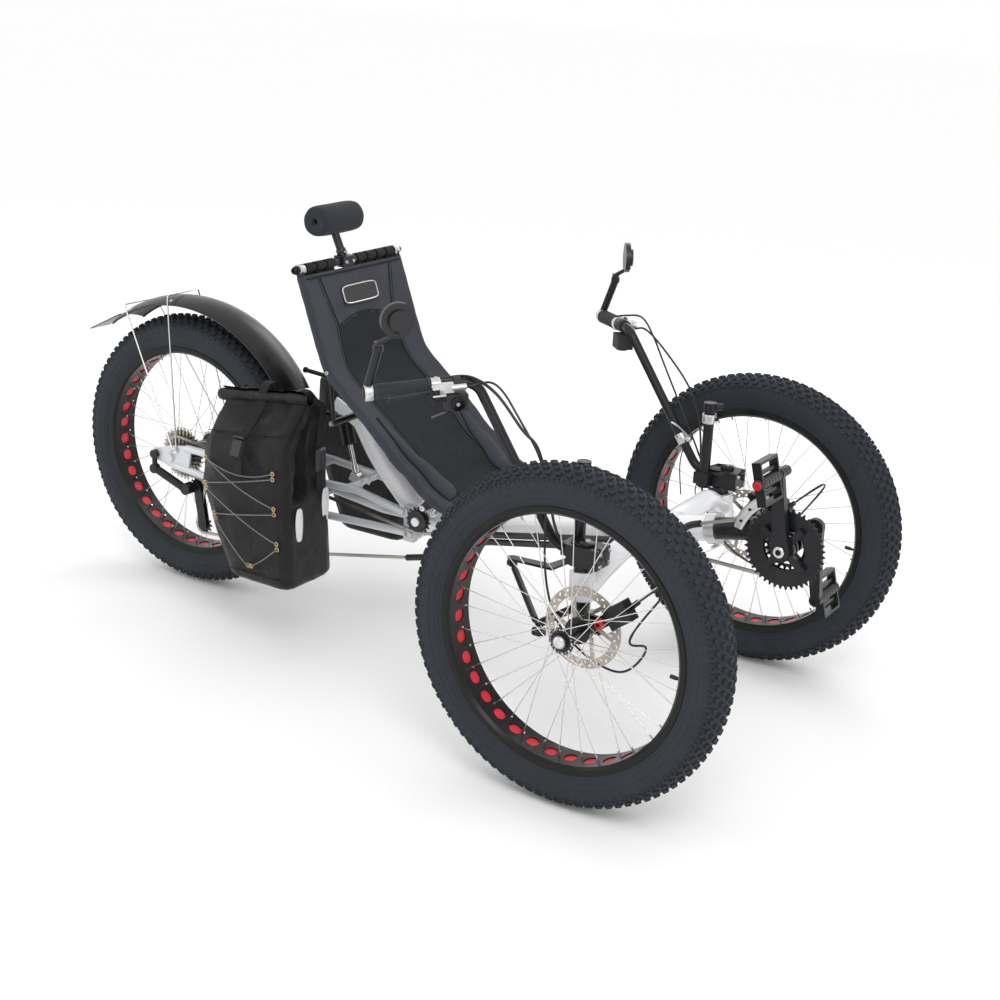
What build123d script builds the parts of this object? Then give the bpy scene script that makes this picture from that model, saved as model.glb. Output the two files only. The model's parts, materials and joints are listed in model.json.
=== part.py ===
"""Adult recumbent tadpole tricycle with fat tyres, in millimetres.

+X is forward, +Y is the rider's left and +Z is up. The origin lies on the ground, under the
middle of the tricycle's overall box. "left" and "right" are the rider's own.
"""
import os
from math import atan2, cos, degrees, pi, radians, sin, sqrt

from build123d import *

os.makedirs("parts", exist_ok=True)

# ---------------------------------------------------------------- driving dimensions
WHEELBASE = 1448.0
TRACK = 944.0
FRONT_X = 724.0                       # front axle line
REAR_X = FRONT_X - WHEELBASE          # rear axle line
TYRE_RADIUS = 372.0                   # 26 x 4.0 tyre
TYRE_HALF_WIDTH = 50.0
AXLE_Z = TYRE_RADIUS
RIM_RADIUS = 288.0
RIM_HALF_WIDTH = 42.5
SPOKE_COUNT = 36
SPOKE_RADIUS = 1.0
DISC_RADIUS = 90.0
AXLE_RADIUS = 8.0
RUNNING_GAP = 0.05                    # radial clearance of every shaft in its bore

TUBE_SLOPE = 11.5                     # main tube and boom, degrees above the horizontal
BOOM_MOUTH = Vector(FRONT_X + 97, 0, 500)
MAIN_TUBE_RADIUS = 29.0
BOOM_RADIUS = 25.0
CRANK_CENTRE = Vector(FRONT_X + 292, 0, 520)
CRANK_LENGTH = 170.0
CRANK_LEAN = 7.0                      # degrees from upright at rest

CHAIN_Y = -68.6
CHAIN_PITCH = 12.7
RING_TEETH = (44, 36, 24)
COG_TEETH = (34, 30, 27, 24, 21, 18, 15, 13, 11)
COG_SPACING = 4.2
IDLER_TEETH = 16
IDLER_CENTRE = Vector(FRONT_X - 662, 0, 362)
PULLEY_TEETH = 12
UPPER_PULLEY = Vector(FRONT_X - 1382, 0, 295)
LOWER_PULLEY = Vector(FRONT_X - 1362, 0, 192)

KINGPIN_BASE = Vector(FRONT_X - 45, 345, 434)   # middle of the left kingpin tube
KINGPIN_LEAN_IN = 8.0
KINGPIN_LEAN_BACK = 6.0

SWING_PIVOT = Vector(FRONT_X - 700, 0, 312)
SHOCK_TOP = Vector(FRONT_X - 955, 0, 590)
SHOCK_BOTTOM = Vector(FRONT_X - 905, 0, 408)

SEAT_HALF_WIDTH = 192.0
SEAT_PROFILE = (                      # side rail seen from the side, from the top down
    (-937, 946), (-907, 868), (-877, 789), (-847, 724), (-800, 681), (-743, 635),
    (-690, 589), (-644, 546), (-606, 521), (-562, 484), (-503, 457), (-458, 452),
)
SEAT_REAR_TUBE = Vector(FRONT_X - 850, 0, 598)
SEAT_FRONT_TUBE = Vector(FRONT_X - 560, 0, 452)
HANDLEBAR_RADIUS = 11.1
CABLE_RADIUS = 2.5

SIDES = (("left", 1), ("right", -1))
Y_AXIS = (0, 1, 0)


# ---------------------------------------------------------------- helpers
def save(builder, label):
    """Label a finished piece and write it to its own file."""
    builder.part.label = label
    export_step(builder.part, f"parts/{label}.step")


def sided(point, side):
    """The point of the left side, moved to the given side."""
    return Vector(point.X, point.Y * side, point.Z)


def route(points, bends):
    """Straight runs joined by tangent arcs."""
    with BuildLine() as line:
        if len(points) > 2:
            FilletPolyline(*points, radius=bends)
        else:
            Line(*points)
    return line.wire()


def add_tube(points, bends, radius, bore=0, mode=Mode.ADD):
    """Add a round tube, or a bar where bore is 0, along a route."""
    path = route(points, bends)
    with BuildSketch(Plane(origin=path @ 0, z_dir=path % 0)) as section:
        Circle(radius)
        if bore:
            Circle(bore, mode=Mode.SUBTRACT)
    sweep(sections=section.sketch, path=path, mode=mode)


def add_bar(start, end, radius, mode=Mode.ADD):
    """Add or cut a round bar between two points."""
    start, end = Vector(start), Vector(end)
    along = end - start
    with Locations(Plane(origin=(start + end) * 0.5, z_dir=along)):
        Cylinder(radius, along.length, mode=mode)


def add_ring(centre, axis, radius, bore, length):
    """Add a round collar about an axis."""
    base = Vector(centre) - Vector(axis).normalized() * (length / 2)
    with BuildSketch(Plane(origin=base, z_dir=axis)) as section:
        Circle(radius)
        Circle(bore, mode=Mode.SUBTRACT)
    extrude(section.sketch, amount=length)


def add_block(centre, x_dir, z_dir, size, mode=Mode.ADD):
    """Add or cut a box whose length runs along x_dir and whose height runs along z_dir."""
    with Locations(Plane(origin=centre, x_dir=x_dir, z_dir=z_dir)):
        Box(*size, mode=mode)


def pitch_radius(teeth):
    return CHAIN_PITCH / (2 * sin(pi / teeth))


def tooth_outline(teeth):
    """Corner points of a toothed wheel whose first tooth stands on the local x axis."""
    pitch = pitch_radius(teeth)
    root, tip = pitch - 4.0, pitch + 3.2
    step = 2 * pi / teeth
    outline = []
    for tooth in range(teeth):
        for radius, share in ((root, -0.32), (tip, -0.12), (tip, 0.12), (root, 0.32)):
            angle = (tooth + share) * step
            outline.append((radius * cos(angle), radius * sin(angle)))
    return outline


def add_toothed_wheel(centre, teeth, bore, thickness):
    """Add a toothed disc across the Y axis, with its mid-plane at the centre."""
    plane = Plane(origin=Vector(centre) + Vector(0, thickness / 2, 0), x_dir=(1, 0, 0), z_dir=(0, -1, 0))
    with BuildSketch(plane) as section:
        with BuildLine():
            Polyline(*tooth_outline(teeth), close=True)
        make_face()
        Circle(bore, mode=Mode.SUBTRACT)
    extrude(section.sketch, amount=thickness)


def tangent_points(centre_a, radius_a, centre_b, radius_b):
    """Ends of the straight line that leaves circle a and reaches circle b in the XZ plane.

    A positive radius has its circle on the right of the travel from a to b, a negative one on
    the left.
    """
    dx, dz = centre_b.X - centre_a.X, centre_b.Z - centre_a.Z
    distance = sqrt(dx * dx + dz * dz)
    turn = atan2(dz, dx)
    tilt = atan2(radius_b - radius_a, sqrt(distance ** 2 - (radius_b - radius_a) ** 2))
    normal = turn + tilt + pi / 2
    nx, nz = cos(normal), sin(normal)
    start = Vector(centre_a.X + radius_a * nx, 0, centre_a.Z + radius_a * nz)
    end = Vector(centre_b.X + radius_b * nx, 0, centre_b.Z + radius_b * nz)
    return start, end


def on_chain(point, y=CHAIN_Y):
    return Vector(point.X, y, point.Z)


def about(centre, radius, angle):
    """A point on a circle in the XZ plane."""
    return Vector(centre.X + radius * cos(radians(angle)), 0, centre.Z + radius * sin(radians(angle)))


def arc_between(centre, start, end, clockwise):
    """Three points of the arc from start to end about a centre in the XZ plane."""
    first = degrees(atan2(start.Z - centre.Z, start.X - centre.X))
    last = degrees(atan2(end.Z - centre.Z, end.X - centre.X))
    if clockwise and last > first:
        last -= 360
    if not clockwise and last < first:
        last += 360
    radius = sqrt((start.X - centre.X) ** 2 + (start.Z - centre.Z) ** 2)
    return start, about(centre, radius, (first + last) / 2), end


# ---------------------------------------------------------------- wheels
def make_tyre(place, centre):
    """Hollow fat tyre, open to the rim."""
    casing = 5.0
    with BuildPart() as tyre:
        with BuildSketch(Plane(origin=centre, x_dir=Y_AXIS, z_dir=(1, 0, 0))):
            with BuildLine():
                outside = Polyline((39.6, 281), (39.6, 289))
                ThreePointArc(outside @ 1, (TYRE_HALF_WIDTH, 327), (36, 361))
                ThreePointArc((36, 361), (0, TYRE_RADIUS), (-36, 361))
                ThreePointArc((-36, 361), (-TYRE_HALF_WIDTH, 327), (-39.6, 289))
                Polyline((-39.6, 289), (-39.6, 281), (-34, 281), (-34, 290))
                ThreePointArc((-34, 290), (casing - TYRE_HALF_WIDTH, 327), (-32, 355.5))
                ThreePointArc((-32, 355.5), (0, TYRE_RADIUS - casing), (32, 355.5))
                ThreePointArc((32, 355.5), (TYRE_HALF_WIDTH - casing, 327), (34, 290))
                Polyline((34, 290), (34, 281), (39.6, 281))
            make_face()
        revolve(axis=Axis(centre, Y_AXIS))
    save(tyre, f"tyre_{place}")


def make_rim(place, centre):
    """Wide single-wall rim, lightened by a row of rounded windows round its floor."""
    window_depth = 12.0
    edge = RIM_HALF_WIDTH
    with BuildPart() as rim:
        with BuildSketch(Plane(origin=centre, x_dir=Y_AXIS, z_dir=(1, 0, 0))):
            with BuildLine():
                Polyline(
                    (-edge, RIM_RADIUS), (-edge, 276), (-36, 270), (36, 270), (edge, 276), (edge, RIM_RADIUS),
                    (40, RIM_RADIUS), (40, 279.5), (34, 277.5), (31, 272.5),
                    (-31, 272.5), (-34, 277.5), (-40, 279.5), (-40, RIM_RADIUS), close=True,
                )
            make_face()
        revolve(axis=Axis(centre, Y_AXIS))
        for window in range(SPOKE_COUNT - 1):
            angle = radians((window + 0.5) * 360 / SPOKE_COUNT)
            outward = Vector(cos(angle), 0, sin(angle))
            with BuildSketch(Plane(origin=Vector(centre) + outward * 265, x_dir=Y_AXIS, z_dir=outward)):
                RectangleRounded(31, 27, 12)
        extrude(amount=window_depth, mode=Mode.SUBTRACT)
    save(rim, f"rim_{place}")


def make_spokes(place, centre, flanges, flange_radius):
    """Wire spokes, crossed three times, from both hub flanges to the rim floor."""
    per_flange = SPOKE_COUNT // 2
    lean = 60.0
    rim_end = 269.5
    with BuildPart() as spokes:
        for flange_number, flange_y in enumerate(flanges):
            inward = -1 if flange_y > centre[1] else 1
            for spoke in range(per_flange):
                crossing = 1 if spoke % 2 else -1
                rim_angle = radians((spoke * 2 + flange_number) * 360 / SPOKE_COUNT)
                hub_angle = rim_angle + radians(lean) * crossing
                hub_end = Vector(
                    centre[0] + flange_radius * cos(hub_angle),
                    flange_y - inward * (2.8 + 1.6 * crossing),
                    centre[2] + flange_radius * sin(hub_angle),
                )
                nipple = Vector(
                    centre[0] + rim_end * cos(rim_angle),
                    centre[1] - inward * (8 + crossing),
                    centre[2] + rim_end * sin(rim_angle),
                )
                add_bar(hub_end, nipple, SPOKE_RADIUS)
    save(spokes, f"spokes_{place}")


def make_front_hub(side, name, centre):
    """One-sided hub: it runs on the stub axle and carries the brake disc inboard."""
    with BuildPart() as hub:
        with BuildSketch(Plane(origin=centre, x_dir=(0, side, 0), z_dir=(side, 0, 0))):
            with BuildLine():
                bore = AXLE_RADIUS + RUNNING_GAP
                Polyline(
                    (-59, bore), (32, bore), (32, 0), (41, 0), (38, 10), (36, 15.5), (30, 17), (30, 29),
                    (26.5, 29), (24, 17), (-33, 17), (-35.5, 29), (-39, 29), (-39, 19), (-48, 19),
                    (-48, 24), (-59, 24), close=True,
                )
            make_face()
        revolve(axis=Axis(centre, Y_AXIS))
    save(hub, f"hub_front_{name}")


def make_brake_disc(side, name, centre):
    """Brake disc bolted to the hub's inboard face."""
    thickness = 2.0
    face = Vector(centre[0], centre[1] - side * 59.0, centre[2])
    with BuildPart() as disc:
        with BuildSketch(Plane(origin=face, x_dir=(1, 0, 0), z_dir=(0, -side, 0))):
            Circle(DISC_RADIUS)
            Circle(70, mode=Mode.SUBTRACT)
            Circle(27)
            with PolarLocations(48, 6):
                Rectangle(50, 9, rotation=24)
            Circle(17, mode=Mode.SUBTRACT)
            with PolarLocations(84, 24):
                SlotOverall(9, 4.5, rotation=55, mode=Mode.SUBTRACT)
            with PolarLocations(76, 24, start_angle=7.5):
                SlotOverall(8, 4, rotation=-40, mode=Mode.SUBTRACT)
        extrude(amount=thickness)
    save(disc, f"brake_disc_front_{name}")


def make_rear_hub(centre):
    """Rear hub with two flanges and the freehub barrel that carries the cassette."""
    with BuildPart() as hub:
        with BuildSketch(Plane(origin=centre, x_dir=Y_AXIS, z_dir=(1, 0, 0))):
            with BuildLine():
                bore = 6 + RUNNING_GAP
                Polyline(
                    (-96, bore), (96, bore), (96, 12), (60, 14), (57, 30), (53, 30), (50, 18), (-40, 18),
                    (-43, 30), (-47, 30), (-50, 20), (-50, 16.8), (-94, 16.8), (-96, 12), close=True,
                )
            make_face()
        revolve(axis=Axis(centre, Y_AXIS))
    save(hub, "hub_rear")


def make_cassette():
    """Stack of cogs, the largest nearest the wheel."""
    with BuildPart() as cassette:
        for cog, teeth in enumerate(COG_TEETH):
            cog_y = CHAIN_Y + (3 - cog) * COG_SPACING
            add_toothed_wheel((REAR_X, cog_y, AXLE_Z), teeth, 16.8 + RUNNING_GAP, 1.8)
            if cog:
                spacer = (REAR_X, cog_y + COG_SPACING / 2, AXLE_Z)
                add_ring(spacer, Y_AXIS, 19, 16.8 + RUNNING_GAP, COG_SPACING - 1.8)
    save(cassette, "cassette")


rear_centre = (REAR_X, 0, AXLE_Z)
make_tyre("rear", rear_centre)
make_rim("rear", rear_centre)
make_spokes("rear", rear_centre, (-45, 55), 26)
make_rear_hub(rear_centre)
make_cassette()
for name, side in SIDES:
    wheel_centre = (FRONT_X, side * TRACK / 2, AXLE_Z)
    make_tyre(f"front_{name}", wheel_centre)
    make_rim(f"front_{name}", wheel_centre)
    front_flanges = (side * (TRACK / 2 - 37.2), side * (TRACK / 2 + 28.2))
    make_spokes(f"front_{name}", wheel_centre, front_flanges, 25)
    make_front_hub(side, name, wheel_centre)
    make_brake_disc(side, name, wheel_centre)

# ---------------------------------------------------------------- main frame
tube_along = Vector(cos(radians(TUBE_SLOPE)), 0, sin(radians(TUBE_SLOPE)))
tube_normal = Vector(-sin(radians(TUBE_SLOPE)), 0, cos(radians(TUBE_SLOPE)))


def on_tube(forward, above=0.0, y=0.0):
    """A point of the main tube's line, measured from the boom's mouth along the tube."""
    point = BOOM_MOUTH + tube_along * forward + tube_normal * above
    return Vector(point.X, y, point.Z)


BELL_CRANK_PIVOT = Vector(on_tube(-262).X, 0, 392)
BELL_CRANK_PIN = 6.0

with BuildPart() as main_frame:
    seat_tube_top = Vector(FRONT_X - 884, 0, 556)
    add_tube(
        [
            on_tube(-16),
            on_tube(-700),
            Vector(FRONT_X - 712, 0, 358),
            Vector(FRONT_X - 826, 0, 468),
            seat_tube_top,
        ],
        [160, 90, 400],
        MAIN_TUBE_RADIUS,
    )
    # pivot lug of the swingarm, under the tube's rear end
    add_block((SWING_PIVOT.X + 6, 0, SWING_PIVOT.Z + 16), (1, 0, 0), (0, 0, 1), (52, 44, 40))
    add_bar((SWING_PIVOT.X, -22, SWING_PIVOT.Z), (SWING_PIVOT.X, 22, SWING_PIVOT.Z), 20)
    add_bar((SWING_PIVOT.X, -50, SWING_PIVOT.Z), (SWING_PIVOT.X, 50, SWING_PIVOT.Z), 8)
    # ears that hold the shock's upper eye
    ear_along = (SHOCK_TOP - seat_tube_top).normalized()
    for ear in (-16, 16):
        middle = (SHOCK_TOP + seat_tube_top) * 0.5 + Vector(0, ear, 0)
        add_block(middle, ear_along, Y_AXIS, (104, 34, 5))
    add_bar((SHOCK_TOP.X, -20, SHOCK_TOP.Z), (SHOCK_TOP.X, 20, SHOCK_TOP.Z), 5)
    # saddle for the seat's rear cross tube
    saddle = Vector(SEAT_REAR_TUBE.X, 0, SEAT_REAR_TUBE.Z)
    add_block(saddle + Vector(-8, 0, -22), (1, 0, 0), (0, 0, 1), (46, 44, 48))
    add_bar(saddle + Vector(0, -60, 0), saddle + Vector(0, 60, 0), 9 + RUNNING_GAP, mode=Mode.SUBTRACT)
    # post and saddle for the seat's front cross tube
    front_saddle = Vector(SEAT_FRONT_TUBE.X, 0, SEAT_FRONT_TUBE.Z)
    add_bar(front_saddle + Vector(0, 0, -80), front_saddle + Vector(0, 0, -4), 13)
    add_block(front_saddle, (1, 0, 0), (0, 0, 1), (34, 40, 22))
    cross_reach = Vector(0, 60, 0)
    add_bar(front_saddle - cross_reach, front_saddle + cross_reach, 9 + RUNNING_GAP, mode=Mode.SUBTRACT)
    # axle of the chain idler
    axle_end = IDLER_CENTRE + Vector(0, CHAIN_Y - 16, 0)
    add_bar(IDLER_CENTRE + Vector(0, -20, 0), axle_end, 5)
    add_bar(axle_end + Vector(0, 6, 0), axle_end, 11)
    # post that the steering bell crank turns on
    add_bar(BELL_CRANK_PIVOT + Vector(0, 0, -16), BELL_CRANK_PIVOT + Vector(0, 0, 40), BELL_CRANK_PIN)
    add_bar(BELL_CRANK_PIVOT + Vector(0, 0, 7), BELL_CRANK_PIVOT + Vector(0, 0, 34), 15)
    add_bar(on_tube(-10), on_tube(-330), BOOM_RADIUS + RUNNING_GAP, mode=Mode.SUBTRACT)
save(main_frame, "main_frame")

with BuildPart() as boom_clamp:
    with BuildSketch(Plane(origin=on_tube(-14), z_dir=tube_along)):
        Circle(36)
        with Locations((0, -38)):
            Rectangle(22, 22)
        Circle(BOOM_RADIUS + RUNNING_GAP, mode=Mode.SUBTRACT)
        with Locations((0, -40)):
            Rectangle(3, 40, mode=Mode.SUBTRACT)
    extrude(amount=24)
    for bolt in (-8, -2):
        add_bar(on_tube(bolt, -41, -14), on_tube(bolt, -41, 14), 2.5)
save(boom_clamp, "boom_clamp")

# ---------------------------------------------------------------- boom, cranks and pedals
BOOM_STOP = -290.0
with BuildPart() as boom:
    add_bar(on_tube(BOOM_STOP), on_tube(178), BOOM_RADIUS)
    add_bar((CRANK_CENTRE.X, -34, CRANK_CENTRE.Z), (CRANK_CENTRE.X, 34, CRANK_CENTRE.Z), 22)
    shell_reach = Vector(0, 36, 0)
    add_bar(CRANK_CENTRE - shell_reach, CRANK_CENTRE + shell_reach, 12 + RUNNING_GAP, mode=Mode.SUBTRACT)
    # upright post that carries the front derailleur, with an accessory clamp and stub bar on top
    add_bar(on_tube(128), (FRONT_X + 222, 0, 648), 14)
    add_bar((FRONT_X + 225, 0, 632), (FRONT_X + 222, 0, 652), 18)
    add_bar((FRONT_X + 222, 0, 646), (FRONT_X + 222, 70, 646), 8)
    add_bar((FRONT_X + 222, 46, 646), (FRONT_X + 222, 70, 646), 12)
save(boom, "boom")

crank_up = Vector(-sin(radians(CRANK_LEAN)), 0, cos(radians(CRANK_LEAN)))
PEDAL_RIGHT = CRANK_CENTRE + crank_up * CRANK_LENGTH + Vector(0, -105, 0)
PEDAL_LEFT = CRANK_CENTRE - crank_up * CRANK_LENGTH + Vector(0, 105, 0)


def add_crank_arm(y_inner, y_outer, up):
    """Add a tapering crank arm between two planes across the Y axis."""
    side = 1 if y_outer > 0 else -1
    with BuildSketch(Plane(origin=CRANK_CENTRE + Vector(0, y_inner, 0), x_dir=up, z_dir=(0, side, 0))) as arm:
        with BuildLine():
            Polyline((-10, 21), (30, 17), (165, 11), (165, -11), (30, -17), (-10, -21), close=True)
        make_face()
        Circle(21)
        with Locations((CRANK_LENGTH, 0)):
            Circle(14)
    extrude(arm.sketch, amount=abs(y_outer - y_inner))


with BuildPart() as crankset:
    add_bar((CRANK_CENTRE.X, -104, CRANK_CENTRE.Z), (CRANK_CENTRE.X, 104, CRANK_CENTRE.Z), 12)
    add_crank_arm(-88, -104, crank_up)
    add_crank_arm(88, 104, crank_up * -1)
    for ring, teeth in enumerate(RING_TEETH):
        ring_y = CHAIN_Y - (1 - ring) * 7.0
        bore = 48 if ring < 2 else 38
        add_toothed_wheel((CRANK_CENTRE.X, ring_y, CRANK_CENTRE.Z), teeth, bore, 2.0)
    spider_outer = CRANK_CENTRE + Vector(0, CHAIN_Y + 9, 0)
    with BuildSketch(Plane(origin=spider_outer, x_dir=crank_up, z_dir=(0, -1, 0))):
        Circle(26)
        with PolarLocations(40, 4, start_angle=45):
            Rectangle(46, 15)
    extrude(amount=7)
    spider_inner = CRANK_CENTRE + Vector(0, CHAIN_Y - 6, 0)
    with BuildSketch(Plane(origin=spider_inner, x_dir=crank_up, z_dir=(0, -1, 0))):
        Circle(26)
        with PolarLocations(40, 4, start_angle=45):
            Rectangle(46, 15)
    extrude(amount=abs(-88 - CHAIN_Y) - 6)
    for pedal, inner, outer in ((PEDAL_RIGHT, -80, -110), (PEDAL_LEFT, 80, 110)):
        add_bar((pedal.X, inner, pedal.Z), (pedal.X, outer, pedal.Z), 6 + RUNNING_GAP, mode=Mode.SUBTRACT)
save(crankset, "crankset")


def make_pedal(name, axis_point, side):
    """Cage pedal standing on edge, with the spindle that screws into the crank."""
    pedal_up = Vector(-sin(radians(14)), 0, cos(radians(14)))
    pedal_out = Vector(0, side, 0)
    spindle_start = axis_point - pedal_out * 14
    hub_start = axis_point + pedal_out * 1.5
    hub_end = axis_point + pedal_out * 98
    with BuildPart() as pedal:
        add_bar(spindle_start, hub_start, 6)
        add_bar(hub_start, hub_end, 12)
        for y in (9, 92):
            centre = axis_point + pedal_out * y
            add_block(centre, pedal_up, (0, 1, 0), (88, 20, 6))
        for height in (-44, 44):
            centre = axis_point + pedal_out * 50.5 + pedal_up * height
            add_block(centre, pedal_up, (0, 1, 0), (6, 20, 89))
        for height in (-22, 22):
            centre = axis_point + pedal_out * 50.5 + pedal_up * height
            add_block(centre, pedal_up, (0, 1, 0), (7, 9, 89))
    save(pedal, f"pedal_{name}")


make_pedal("right", PEDAL_RIGHT, -1)
make_pedal("left", PEDAL_LEFT, 1)

# ---------------------------------------------------------------- chain drive
with BuildPart() as idler:
    add_toothed_wheel(on_chain(IDLER_CENTRE), IDLER_TEETH, 5 + RUNNING_GAP, 2.0)
    for flank in (-5.2, 5.2):
        centre = on_chain(IDLER_CENTRE, CHAIN_Y + flank)
        add_ring(centre, Y_AXIS, pitch_radius(IDLER_TEETH) - 6, 5 + RUNNING_GAP, 8.4)
save(idler, "idler")

ring_radius = pitch_radius(RING_TEETH[1])
cog_radius = pitch_radius(COG_TEETH[3])
idler_radius = pitch_radius(IDLER_TEETH)
pulley_radius = pitch_radius(PULLEY_TEETH)
rear_axle = Vector(REAR_X, 0, AXLE_Z)
UPPER_MOUTH = Vector(FRONT_X + 90, 0, 528)
LOWER_MOUTH = Vector(FRONT_X + 45, 0, 450)
UPPER_TUBE_REAR = Vector(FRONT_X - 520, 0, 358)
PIVOT_SPLIT_X = SWING_PIVOT.X + 3      # the chain is parted here, right above the swingarm's pivot
RETURN_SPLIT = Vector(PIVOT_SPLIT_X, 0, 257)
CHAIN_INSERTION = 8.0                  # how far the chain reaches into a tube's mouth


def beyond(start, end, extra):
    """The point past the end of a straight run."""
    return end + (end - start).normalized() * extra


def add_wrap(centre, start, end, over):
    """Add the arc of chain that lies on a wheel between two points of its pitch circle."""
    ThreePointArc(*[on_chain(point) for point in arc_between(centre, start, end, over)])


def add_chain(path):
    """Add the two rows of side plates that stand for a chain along a path."""
    for plate in (-2.5, 2.5):
        shifted = path.moved(Location((0, plate, 0)))
        with BuildSketch(Plane(origin=shifted @ 0, x_dir=Y_AXIS, z_dir=shifted % 0)) as section:
            Rectangle(1.0, 7.0)
        sweep(sections=section.sketch, path=shifted)


ring_top, _ = tangent_points(CRANK_CENTRE, -ring_radius, UPPER_MOUTH, 0)
_, ring_bottom = tangent_points(LOWER_MOUTH, 0, CRANK_CENTRE, -ring_radius)
with BuildPart() as chain_front:
    with BuildLine() as run:
        Line(on_chain(beyond(ring_bottom, LOWER_MOUTH, CHAIN_INSERTION)), on_chain(ring_bottom))
        ThreePointArc(*[on_chain(point) for point in arc_between(CRANK_CENTRE, ring_bottom, ring_top, False)])
        Line(on_chain(ring_top), on_chain(beyond(ring_top, UPPER_MOUTH, CHAIN_INSERTION)))
    add_chain(run.wire())
save(chain_front, "chain_front")

_, idler_touch = tangent_points(UPPER_TUBE_REAR, 0, IDLER_CENTRE, idler_radius)
idler_leave, cassette_touch = tangent_points(IDLER_CENTRE, idler_radius, rear_axle, -cog_radius)


def along_run(start, end, x):
    """The point of a straight run at a given x."""
    share = (x - start.X) / (end.X - start.X)
    return start + (end - start) * share


with BuildPart() as chain_middle:
    with BuildLine() as run:
        Line(on_chain(beyond(idler_touch, UPPER_TUBE_REAR, CHAIN_INSERTION)), on_chain(idler_touch))
        add_wrap(IDLER_CENTRE, idler_touch, idler_leave, True)
        Line(on_chain(idler_leave), on_chain(along_run(idler_leave, cassette_touch, PIVOT_SPLIT_X)))
    add_chain(run.wire())
save(chain_middle, "chain_middle")

cassette_leave, upper_touch = tangent_points(rear_axle, -cog_radius, UPPER_PULLEY, pulley_radius)
upper_leave, lower_touch = tangent_points(UPPER_PULLEY, pulley_radius, LOWER_PULLEY, -pulley_radius)
SAG = Vector(FRONT_X - 960, 0, 203)
lower_leave, _ = tangent_points(LOWER_PULLEY, -pulley_radius, SAG, 0)
with BuildPart() as chain_rear:
    with BuildLine() as run:
        split = along_run(idler_leave, cassette_touch, PIVOT_SPLIT_X - 3.6)
        Line(on_chain(split), on_chain(cassette_touch))
        add_wrap(rear_axle, cassette_touch, cassette_leave, False)
        Line(on_chain(cassette_leave), on_chain(upper_touch))
        add_wrap(UPPER_PULLEY, upper_touch, upper_leave, True)
        Line(on_chain(upper_leave), on_chain(lower_touch))
        add_wrap(LOWER_PULLEY, lower_touch, lower_leave, False)
        FilletPolyline(on_chain(lower_leave), on_chain(SAG), on_chain(RETURN_SPLIT), radius=600)
    add_chain(run.wire())
save(chain_rear, "chain_rear")


def chain_point(forward, up):
    return Vector(FRONT_X + forward, CHAIN_Y, up)


with BuildPart() as chain_tubes:
    tube_routes = (
        ((90, 528), (62, 518.5), (-10, 443), (-140, 437), (-453, 374), (-520, 358)),
        ((45, 450), (20, 449), (-20, 422), (-140, 417), (-453, 356), (-505, 340), (-623, 276), (-692, 258)),
    )
    tube_bends = ([60, 60, 200, 400], [40, 60, 200, 60, 60, 150])
    for corners, bends in zip(tube_routes, tube_bends):
        add_tube([chain_point(*corner) for corner in corners], bends, 8.0, bore=6.8)
    for forward, up in ((-330, 389), (-330, 390.4 - 18)):
        add_ring(chain_point(forward + 8, up + 11), tube_along, 10, 8, 8)
save(chain_tubes, "chain_tubes")

# ---------------------------------------------------------------- cross member and steering
def kingpin_direction(side):
    """Upward direction of one side's kingpin, which leans inward and back."""
    lean_back = -sin(radians(KINGPIN_LEAN_BACK))
    lean_in = -side * sin(radians(KINGPIN_LEAN_IN))
    return Vector(lean_back, lean_in, 1).normalized()


with BuildPart() as cross_member:
    for _, side in SIDES:
        arm_corners = ((-22, 0, 482), (-24, side * 212, 486), (-44, side * 338, 428))
        add_tube([(FRONT_X + x, y, z) for x, y, z in arm_corners], [110], 25)
    add_bar(on_tube(-156), on_tube(-88), MAIN_TUBE_RADIUS + 6)
    add_bar(on_tube(-176), on_tube(-68), MAIN_TUBE_RADIUS, mode=Mode.SUBTRACT)
    for _, side in SIDES:
        kingpin_up = kingpin_direction(side)
        middle = sided(KINGPIN_BASE, side)
        add_bar(middle - kingpin_up * 31, middle + kingpin_up * 31, 28)
        add_bar(middle - kingpin_up * 60, middle + kingpin_up * 60, 8 + RUNNING_GAP, mode=Mode.SUBTRACT)
save(cross_member, "cross_member")

BAR_CORNERS = [
    Vector(FRONT_X - 25, 343, 503), Vector(FRONT_X - 118, 343, 510),
    Vector(FRONT_X - 334, 344, 829), Vector(FRONT_X - 501, 513, 807),
]
BAR_BENDS = [55, 40]
grip_along = (BAR_CORNERS[3] - BAR_CORNERS[2]).normalized()
grip_out = Vector(0.716, 0.692, -0.09)
STEERING_ARM_END = Vector(FRONT_X - 124, 380, 325)
TIE_ROD_INNER = Vector(FRONT_X - 308, 200, 378)
ACCESSORY_POST = Vector(FRONT_X - 80, 306, 0)


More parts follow.
